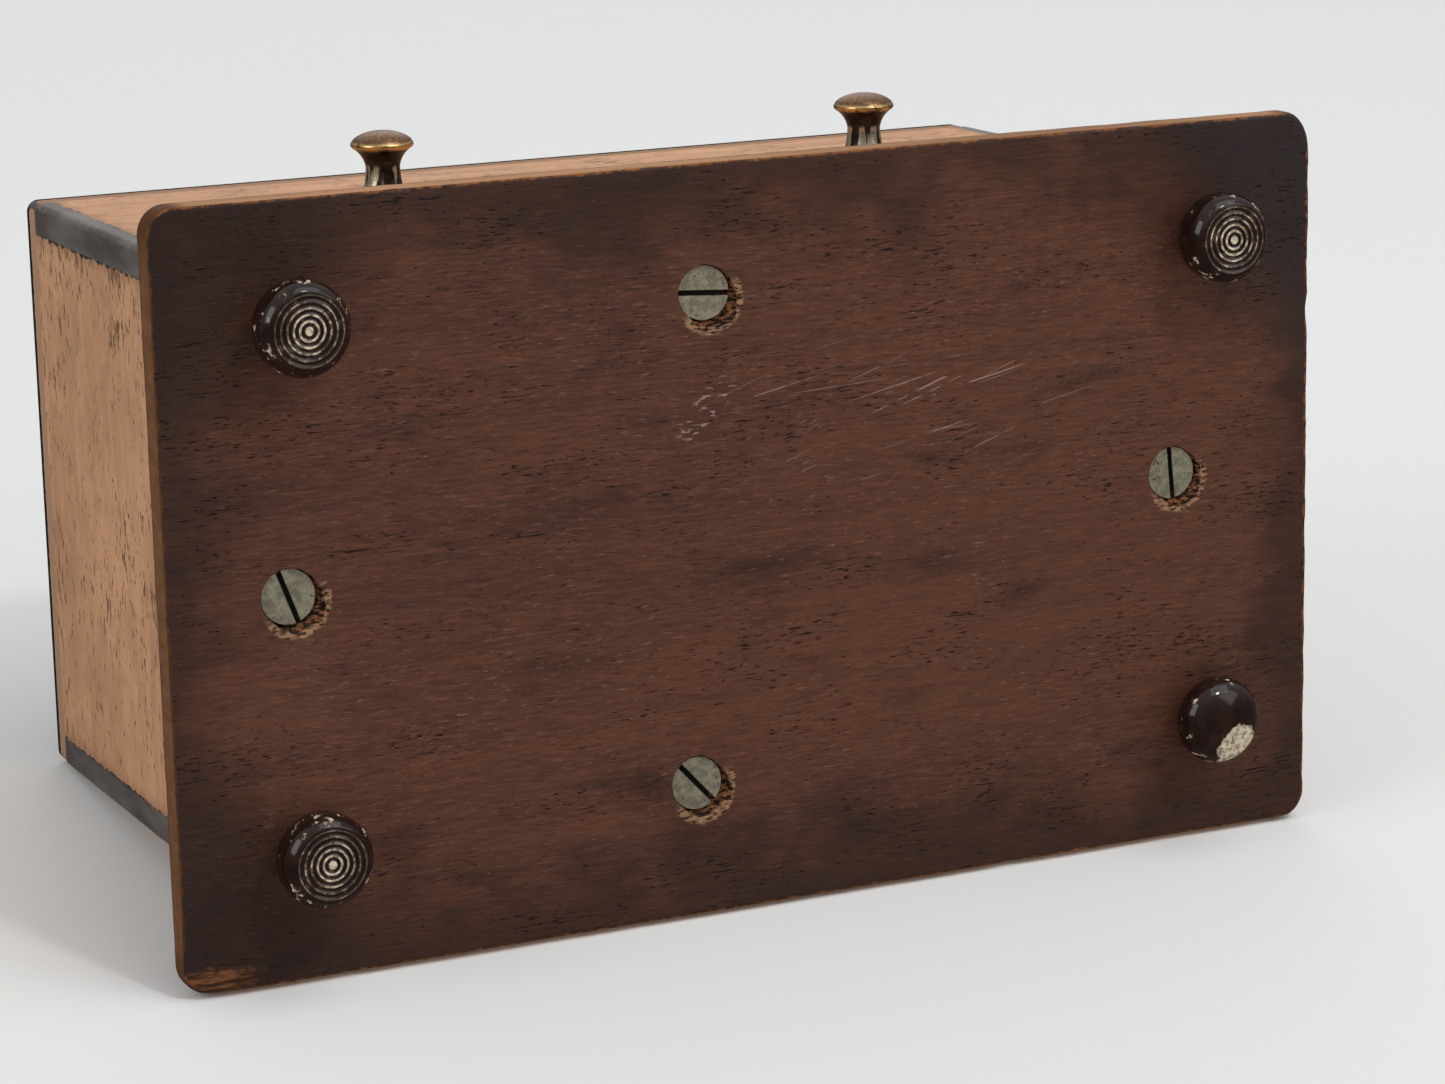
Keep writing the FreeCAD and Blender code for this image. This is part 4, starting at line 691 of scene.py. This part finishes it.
def arc(first, last, radius, count):
    """Points after the first and up to the last on an arc that bulges away from the axis, or
    towards it where the radius is negative."""
    start, end = Vector(first), Vector(last)
    chord = end - start
    left = Vector((-chord.y, chord.x)).normalized()
    rise = math.sqrt(max(radius**2 - (chord.length / 2) ** 2, 0.0))
    centre = (start + end) / 2 + left * math.copysign(rise, radius)
    angles = [math.atan2(point.y - centre.y, point.x - centre.x) for point in (start, end)]
    sweep = (angles[1] - angles[0] + math.pi) % (2 * math.pi) - math.pi
    points = []
    for step in range(1, count + 1):
        angle = angles[0] + sweep * step / count
        reach = abs(radius)
        points.append((centre.x + reach * math.cos(angle), centre.y + reach * math.sin(angle)))
    return points


def lathe(name, outline, steps):
    """A mesh turned about Z from (radius, height) points that run from the axis to the axis."""
    made = bmesh.new()
    rows = []
    for radius, height in outline:
        if radius < 1e-6:
            rows.append([made.verts.new((0, 0, height * MM))])
            continue
        row = []
        for step in range(steps):
            angle = 2 * math.pi * step / steps
            spot = (radius * math.cos(angle) * MM, radius * math.sin(angle) * MM, height * MM)
            row.append(made.verts.new(spot))
        rows.append(row)
    for low, high in zip(rows, rows[1:]):
        for step in range(steps):
            following = (step + 1) % steps
            corners = [low[step % len(low)], low[following % len(low)]]
            corners += [high[following % len(high)], high[step % len(high)]]
            made.faces.new(list(dict.fromkeys(corners)))
    return close_mesh(made, name, 40)


FOOT_GROOVE = 0.16
FOOT_BELLY = 3.3
FOOT_NECK = (3.0, 7.2)


def foot_outline(height, widest, ringed):
    """A foot's outline from its face up to the plate."""
    if ringed:
        rim = FOOT_PITCH * FOOT_RINGS
        per_ring = 8
        outline = [(0.0, 0.0), (FOOT_PITCH * 0.3, 0.0), (FOOT_PITCH / 2, 0.01)]
        for step in range(1, per_ring * (FOOT_RINGS - 1) + 1):
            radius = FOOT_PITCH * (0.5 + step / per_ring)
            wave = (1 + math.cos(2 * math.pi * radius / FOOT_PITCH)) / 2
            outline.append((radius, FOOT_GROOVE * wave))
        outline.append((rim, 0.02))
        outline += arc(outline[-1], (widest, FOOT_BELLY), 3.0, 9)
    else:
        face = arc((0.0, 0.0), (widest * 0.72, 0.95), 11.5, 8)
        outline = [(0.0, 0.0)] + face + arc(face[-1], (widest, FOOT_BELLY), 3.4, 10)
    outline += arc((widest, FOOT_BELLY), FOOT_NECK, 3.2, 9)
    outline += arc(FOOT_NECK, (3.6, height), -6.0, 4)
    return outline + [(0.0, height)]


def feet():
    """The four turned feet. One has lost its rings to a plain dome."""
    for seed, name in enumerate(n for n in sorted(nodes) if n.startswith("foot_")):
        low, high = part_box(name)
        middle = (low + high) / 2
        widest = (high.x - low.x) / 2 / MM
        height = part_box("base_plate")[0].z / MM
        plain_face = name == "foot_back_right"
        mesh = lathe(name + "_turned", foot_outline(height, widest, not plain_face), 112)
        patch = (1.4, 3.5, 3.5) if plain_face else None
        finish = foot_lacquer(f"foot_lacquer_{seed}", seed + 1.0, patch)
        piece = link(name + "_turned", mesh, finish, (middle.x, middle.y, 0.0))
        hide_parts(name)
        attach(piece, "case")


def knob_outline(radius, height):
    """A terminal knob's outline, from its foot to the crown of its dome."""
    foot = (3.8, 0.5)
    waist = (2.5, height - 5.3)
    rim_low = (radius - 0.18, height - 2.55)
    rim_high = reach, rim = (radius - 0.12, height - 1.62)
    outline = [(0.0, 0.0), (3.55, 0.0), (3.78, 0.14), foot]
    outline += arc(foot, waist, -14.0, 8)
    outline += arc(waist, rim_low, -3.9, 10)
    outline += arc(rim_low, rim_high, 0.56, 7)
    crown = height - 0.05
    count = 10
    for step in range(1, count + 1):
        angle = math.pi / 2 * step / count
        outline.append((reach * math.cos(angle), rim + (crown - rim) * math.sin(angle) ** 1.35))
    outline[-1] = (0.0, crown)
    return outline


def knobs():
    """The four terminal knobs."""
    for seed, name in enumerate(n for n in sorted(nodes) if n.endswith("_knob") and n != "tuning_knob"):
        low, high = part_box(name)
        middle = (low + high) / 2
        radius = (high.x - low.x) / 2 / MM
        if name.startswith("phone"):
            place, turn = (middle.x, high.y, middle.z), Matrix.Rotation(math.pi / 2, 3, "X")
            height = (high.y - low.y) / MM
        else:
            place, turn = (middle.x, middle.y, low.z), None
            height = (high.z - low.z) / MM
        mesh = lathe(name + "_turned", knob_outline(radius, height), 96)
        finish = knob_brass(f"knob_brass_{seed}", seed + 1.0, height - 2.5, height - 1.6, radius)
        piece = link(name + "_turned", mesh, finish, place, turn)
        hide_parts(name)
        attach(piece, name.replace("_knob", "_nut"))


PLATE_CORNER = 4.0
PLATE_BEND = 0.55


def plate():
    """The base plate, with an irregular worn arris and the screws' ragged seats."""
    low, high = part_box("base_plate")
    half_x, half_y = high.x / MM, high.y / MM
    bottom = low.z / MM
    thick = high.z / MM - bottom
    made = bmesh.new()
    path = outline_path(half_x, half_y, PLATE_CORNER, 1.1)
    angles = [math.pi / 2 * step / 6 for step in range(1, 7)]
    bends = [(PLATE_BEND * math.sin(angle), PLATE_BEND * math.cos(angle)) for angle in angles]
    # pairs of how far in from the outline and how far up from the lower face
    profile = [(3.4, 0.0), (2.0, 0.0), (1.2, 0.0), (0.8, 0.0)]
    profile += [(PLATE_BEND - out, PLATE_BEND - down) for out, down in bends]
    profile += [(0.0, 1.5), (0.0, 2.2), (0.0, 2.9), (0.0, thick - PLATE_BEND)]
    profile += [(PLATE_BEND - out, thick - PLATE_BEND + up) for up, out in bends]
    profile += [(1.2, thick), (3.4, thick)]
    rings = []
    for inset, rise in profile:
        ring = []
        for point, normal in path:
            spot = point - normal * inset
            place = Vector((spot.x, spot.y, bottom + rise))
            shift = arris_shift(place, point, normal, inset, rise, thick, half_x, half_y)
            ring.append(made.verts.new((place + shift) * MM))
        rings.append(ring)
    bridge(made, rings)
    screws = screw_centres()
    seats = [screw_seat(made, centre, bottom) for centre in screws]
    fill_flat(made, rings[0], seats)
    fill_flat(made, rings[-1], [])
    mesh = close_mesh(made, "base_plate_worn", 35)
    piece = link("base_plate_worn", mesh, stained_wood(low, high, PLATE_CORNER, screws))
    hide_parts("base_plate")
    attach(piece, "case")


def outline_path(half_x, half_y, corner, gap):
    """Points and outward normals round a rounded rectangle, anticlockwise, about a gap apart."""
    arcs = []
    for side_x, side_y, start in ((1, -1, -90), (1, 1, 0), (-1, 1, 90), (-1, -1, 180)):
        centre = Vector((side_x * (half_x - corner), side_y * (half_y - corner)))
        angles = [math.radians(start + 9 * step) for step in range(11)]
        ways = [Vector((math.cos(angle), math.sin(angle))) for angle in angles]
        arcs.append([(centre + way * corner, way) for way in ways])
    path = []
    for current, following in zip(arcs, arcs[1:] + arcs[:1]):
        (here, way), there = current[-1], following[0][0]
        count = int((there - here).length / gap)
        path += current + [(here.lerp(there, step / count), way) for step in range(1, count)]
    return path


def arris_shift(place, point, normal, inset, rise, thick, half_x, half_y):
    """How far wear has taken a point of the plate's rim inwards and up or down."""
    lower = max(0.0, 1.0 - inset / 2.0) * max(0.0, 1.0 - rise / 1.6)
    upper = max(0.0, 1.0 - inset / 2.0) * max(0.0, 1.0 - (thick - rise) / 1.6)
    rough = noise.fractal(Vector((point.x, point.y, 2.0)) / 5.0, 0.9, 2.1, 4)
    fine = noise.fractal(Vector((point.x, point.y, 9.0)) / 1.4, 0.9, 2.1, 3)
    dents = max(0.0, noise.noise(Vector((point.x, point.y, 5.0)) / 7.0) - 0.28) * 1.6
    wear = 0.10 + 0.16 * rough + 0.10 * fine + dents
    chip = math.exp(-((point - Vector((-half_x + 2.0, half_y - 1.0))).length / 4.5) ** 2) * 0.55
    wear = max(0.0, wear + chip)
    upper_wear = max(0.0, 0.1 + 0.1 * rough) * upper
    inward = Vector((-normal.x, -normal.y, 0.0))
    side = 0.05 * noise.noise(place / 9.0) * (1.0 if inset < 0.1 else 0.0)
    shift = inward * (wear * 0.62 * lower + 0.5 * upper_wear + max(0.0, side))
    shift.z = wear * 0.50 * lower - 0.35 * upper_wear
    return shift


def screw_centres():
    """The middle of each base screw's head. The screws share a node but stand far apart."""
    left = [vert.co.xy / MM for vert in nodes["base_screws"].data.vertices]
    centres = []
    while left:
        first = left[0]
        xs, ys = zip(*[spot for spot in left if (spot - first).length < 10.0])
        left = [spot for spot in left if (spot - first).length >= 10.0]
        centres.append(Vector((max(xs) + min(xs), max(ys) + min(ys))) / 2)
    return sorted(centres, key=lambda centre: (centre.x, centre.y))


def screw_seat(made, centre, bottom):
    """A ragged countersink, wider towards +X and +Y, closed under the screw's head. Returns its
    outermost ring."""
    count = 64
    under_head = 3.87
    # pairs of a height and how much of the way in to the head it lies
    levels = ((0.0, 0.0), (0.18, 0.10), (0.45, 0.32), (0.9, 0.72), (1.5, 1.0))
    rings = []
    for rise, share in levels:
        ring = []
        for step in range(count):
            angle = 2 * math.pi * step / count
            way = Vector((math.cos(angle), math.sin(angle)))
            torn = noise.fractal(Vector((way.x * 2.2 + centre.x, way.y * 2.2, 1.0 + rise)), 0.9, 2.1, 4)
            bias = max(0.0, way.dot(Vector((0.75, 0.66))))
            wide = 4.02 + 1.75 * bias**1.6 + 0.60 * torn * (0.30 + bias)
            radius = max(under_head, wide) * (1 - share) + under_head * share
            spot = centre + way * radius
            ring.append(made.verts.new(Vector((spot.x, spot.y, bottom + rise)) * MM))
        rings.append(ring)
    bridge(made, rings)
    made.faces.new(rings[-1])
    return rings[0]


def fill_flat(made, outer, holes):
    """Fill a flat outline with triangles, leaving the holes open."""
    loops = [outer, *holes]
    verts = sum(loops, [])
    edges, start = [], 0
    for loop in loops:
        count = len(loop)
        edges += [(start + index, start + (index + 1) % count) for index in range(count)]
        start += count
    flat = [vert.co.xy / MM for vert in verts]
    inside_only = 1
    result = delaunay_2d_cdt(flat, edges, [], inside_only, 1e-6)
    for face in result[2]:
        corners = [verts[result[3][index][0]] for index in face]
        middle = sum((vert.co.xy for vert in corners), Vector((0.0, 0.0))) / len(corners)
        if not any(inside(middle, hole) for hole in holes):
            made.faces.new(corners)


def inside(point, loop):
    """Whether a point lies within a closed row of vertices, seen along Z."""
    crossings = 0
    for first, second in zip(loop, loop[1:] + loop[:1]):
        low, high = sorted((first.co, second.co), key=lambda spot: spot.y)
        if low.y <= point.y < high.y:
            share = (point.y - low.y) / (high.y - low.y)
            crossings += low.x + (high.x - low.x) * share > point.x
    return crossings % 2 == 1


SCALE_REACH = 24.6
SCALE_NUMBERS = 19.2
INK_HEIGHT = 0.03


def scale_marks():
    """The tuner's graduations and numbers, from 0 on the left to 100 on the right."""
    low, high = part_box("scale_plate")
    middle = (low + high) / 2
    surface = high.z
    ink = scale_ink()
    made = bmesh.new()
    for number in range(0, 101, 2):
        angle = math.pi * (1 - number / 100)
        reach, wide = (21.4, 0.32) if number % 10 == 0 else (22.6, 0.22)
        bar(made, middle, angle, reach, SCALE_REACH, wide, surface)
    ring_band(made, middle, SCALE_REACH, SCALE_REACH + 0.25, surface, 96)
    lines = link("scale_lines", close_mesh(made, "scale_lines"), ink)
    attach(lines, "case")
    for number in range(0, 101, 10):
        angle = math.pi * (1 - number / 100)
        curve = bpy.data.curves.new(f"scale_number_{number}", "FONT")
        curve.body = str(number)
        curve.size = 3.1 * MM
        curve.align_x = "CENTER"
        curve.align_y = "CENTER"
        curve.extrude = INK_HEIGHT * MM
        holder = bpy.data.objects.new("holder", curve)
        text = bpy.data.meshes.new_from_object(holder)
        bpy.data.objects.remove(holder)
        spot = Vector((math.cos(angle), math.sin(angle), 0)) * SCALE_NUMBERS * MM
        place = (middle.x + spot.x, middle.y + spot.y, surface + 0.02 * MM)
        text.transform(Matrix.Translation(place) @ Matrix.Rotation(angle - math.pi / 2, 4, "Z"))
        text.materials.clear()
        piece = link(f"scale_number_{number}", text, ink)
        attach(piece, "case")


def bar(made, middle, angle, start, end, wide, surface):
    """One engraved line, filled a hair proud."""
    way = Vector((math.cos(angle), math.sin(angle), 0))
    centre = Vector((middle.x, middle.y, surface + INK_HEIGHT * MM / 2)) + way * (start + end) / 2 * MM
    size = Matrix.Diagonal(((end - start) * MM, wide * MM, INK_HEIGHT * MM, 1))
    turn = Matrix.Rotation(angle, 4, "Z")
    bmesh.ops.create_cube(made, size=1, matrix=Matrix.Translation(centre) @ turn @ size)


def ring_band(made, middle, inner, outer, surface, steps):
    """The thin line round the upper half of the scale."""
    rows = []
    for step in range(steps + 1):
        angle = math.pi * step / steps
        way = Vector((math.cos(angle), math.sin(angle), 0))
        for reach, height in ((inner, 0), (outer, 0), (outer, INK_HEIGHT), (inner, INK_HEIGHT)):
            spot = Vector((middle.x, middle.y, surface + height * MM)) + way * reach * MM
            rows.append(made.verts.new(spot))
    for step in range(steps):
        here, there = rows[step * 4 : step * 4 + 4], rows[step * 4 + 4 : step * 4 + 8]
        for index in range(4):
            after = (index + 1) % 4
            made.faces.new((here[index], there[index], there[after], here[after]))
    made.faces.new(rows[:4])
    made.faces.new(rows[-4:][::-1])


# --- stage ---

CAMERA_PLACE = Vector((-253.0, -130.3, -510.4)) * MM
CAMERA_AIM = Vector((0.4163, 0.2210, 0.8820))
CAMERA_UP = Vector((0.1143, -0.9750, 0.1903))
CAMERA_LENS = 103.9


def camera():
    data = bpy.data.cameras.new("camera")
    data.lens = CAMERA_LENS
    data.sensor_width = 36.0
    data.clip_start = 0.01
    data.clip_end = 50.0
    obj = add_object("camera", data)
    right = CAMERA_AIM.cross(CAMERA_UP).normalized()
    up = right.cross(CAMERA_AIM).normalized()
    turn = Matrix((right, up, -CAMERA_AIM.normalized())).transposed()
    obj.matrix_world = Matrix.Translation(CAMERA_PLACE) @ turn.to_4x4()
    bpy.context.scene.camera = obj


def one_sided(name, colour, glow):
    """A matt stage surface that is seen only from its front."""
    g = Graph(name)
    diffuse = g.add("ShaderNodeBsdfDiffuse", {"Color": colour})
    light = g.add("ShaderNodeEmission", {"Color": colour, "Strength": glow})
    clear = g.add("ShaderNodeBsdfTransparent", {})
    side = g.add("ShaderNodeNewGeometry", {}).outputs["Backfacing"]
    both = g.add("ShaderNodeAddShader", {0: diffuse.outputs[0], 1: light.outputs[0]})
    mixed = g.add("ShaderNodeMixShader", {0: side, 1: both.outputs[0], 2: clear.outputs[0]})
    g.add("ShaderNodeOutputMaterial", {"Surface": mixed.outputs[0]})
    return g.material


def sheet(name, centre, normal, material):
    """A large flat square of the stage, 8 m wide."""
    grid = bmesh.new()
    bmesh.ops.create_grid(grid, x_segments=1, y_segments=1, size=4.0)
    turn = Vector((0, 0, 1)).rotation_difference(normal).to_matrix().to_4x4()
    grid.transform(Matrix.Translation(centre) @ turn)
    obj = link(name, close_mesh(grid, name), material)
    return obj


def floors():
    """The table that the set lies on, on its back, and a level floor under its feet."""
    plate_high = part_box("base_plate")[1]
    top_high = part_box("top_panel")[1]
    first = Vector((0, plate_high.y, plate_high.z))
    second = Vector((0, top_high.y, top_high.z))
    along = second - first
    normal = Vector((0, -along.z, along.y)).normalized()
    white = (0.80, 0.805, 0.80)
    gap = 0.2 * MM
    table = sheet("table", first - normal * gap, normal, one_sided("table_white", white, 0.0))
    table.visible_glossy = False
    table.visible_shadow = False
    upright = Vector((0, 0, 1))
    level = sheet("level_floor", Vector((0, 0, 0)), upright, one_sided("floor_white", white, 0.35))
    level.visible_shadow = False
    level.visible_diffuse = False
    level.visible_glossy = False


def area_light(name, place, power, size):
    """A square light aimed at the middle of the case."""
    data = bpy.data.lights.new(name, "AREA")
    data.energy = power
    data.size = size
    obj = add_object(name, data)
    obj.location = place
    obj.rotation_euler = (Vector((0, 0, 0.05)) - Vector(place)).to_track_quat("-Z", "Y").to_euler()


def lights():
    area_light("key", (0.45, -1.5, -0.6), 7.0, 1.2)
    area_light("spark", (0.30, -1.1, -0.9), 3.4, 0.13)
    area_light("fill", (1.0, -0.9, -1.3), 4.3, 1.0)
    area_light("side", (-1.4, -0.7, -0.3), 6.2, 0.8)
    area_light("top", (0.5, -0.9, 1.3), 3.0, 1.0)
    world = bpy.data.worlds.new("world")
    world.use_nodes = True
    tree = world.node_tree
    background = tree.nodes["Background"]
    background.inputs["Color"].default_value = (0.86, 0.87, 0.875, 1)
    # reflections see a studio that is bright overhead and dim all round
    way = tree.nodes.new("ShaderNodeTexCoord")
    split = tree.nodes.new("ShaderNodeSeparateXYZ")
    overhead = tree.nodes.new("ShaderNodeMapRange")
    rays = tree.nodes.new("ShaderNodeLightPath")
    strength = tree.nodes.new("ShaderNodeMix")
    level, steep, dim, bright = 0.0, -0.8, 0.15, 0.85
    for index, value in enumerate((level, steep, dim, bright), 1):
        overhead.inputs[index].default_value = value
    strength.inputs[2].default_value = 0.60
    tree.links.new(way.outputs["Generated"], split.inputs[0])
    tree.links.new(split.outputs["Y"], overhead.inputs["Value"])
    tree.links.new(rays.outputs["Is Glossy Ray"], strength.inputs[0])
    tree.links.new(overhead.outputs[0], strength.inputs[3])
    tree.links.new(strength.outputs[0], background.inputs["Strength"])
    bpy.context.scene.world = world
    bpy.context.scene.view_settings.view_transform = "Standard"


# --- the set ---


def cad_finishes():
    """Materials for the CAD nodes that keep their own shape."""
    end_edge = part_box("left_panel")[1].y / MM
    front_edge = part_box("front_panel")[1].x / MM
    # painted light: the front and back panels take the veneer 1.14 times lighter than the ends
    end = veneer("end_veneer", (1.0, 0.2, 1.0), (1.0, 0.24, 1.0), "y", end_edge, 1.0)
    front = veneer("front_veneer", (0.045, 1.0, 1.0), (0.2, 1.0, 1.0), "x", front_edge, 1.14)
    paint(["left_panel", "right_panel"], end)
    paint(["front_panel", "back_panel"], front)
    paint(["corner_beads"], black_bead())
    paint(["base_battens", "corner_blocks"], soft_wood())
    paint(["base_screws"], screw_steel())
    plain = ["panel_screws", "scale_pins", "stator_screws", "stator_nuts", "terminal_nuts"]
    plain += ["tuner_nut", "tuner_shaft", "shaft_collar", "condenser_screws", "post_nuts"]
    plain += ["knob_grub_screw"]
    paint(plain, brass("plain_brass", 0.72))
    aged = ["tuner_bush", "cup_post", "crystal_cup", "cup_screws", "arm_post", "swivel_fork"]
    aged += ["arm_barrel", "whisker_rod", "pointer", "terminal_studs"]
    aged += [name for name in nodes if name.endswith("_washer")]
    paint(aged, brass("aged_brass", 0.46))
    paint(["solder_tags"], tin())
    paint(["scale_plate"], ivorine())
    paint(["stator_former", "rotor_former"], card())
    paint(["stator_windings"], winding("stator_wire", "x"))
    paint(["rotor_windings"], winding("rotor_wire", "y"))
    paint(["top_panel"], ebonite("ebonite_sheet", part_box("top_panel")))
    paint(["tuning_knob", "whisker_grip", "stator_pillars"], ebonite("ebonite"))
    paint(["crystal"], galena())
    paint(["cat_whisker"], brass("whisker_bronze", 0.85, 0.18, 0.28))
    paint(["condenser"], mica())
    paint([name for name in nodes if name.endswith("_wire")], sleeving())


camera()
floors()
lights()
cad_finishes()
plate()
feet()
knobs()
scale_marks()
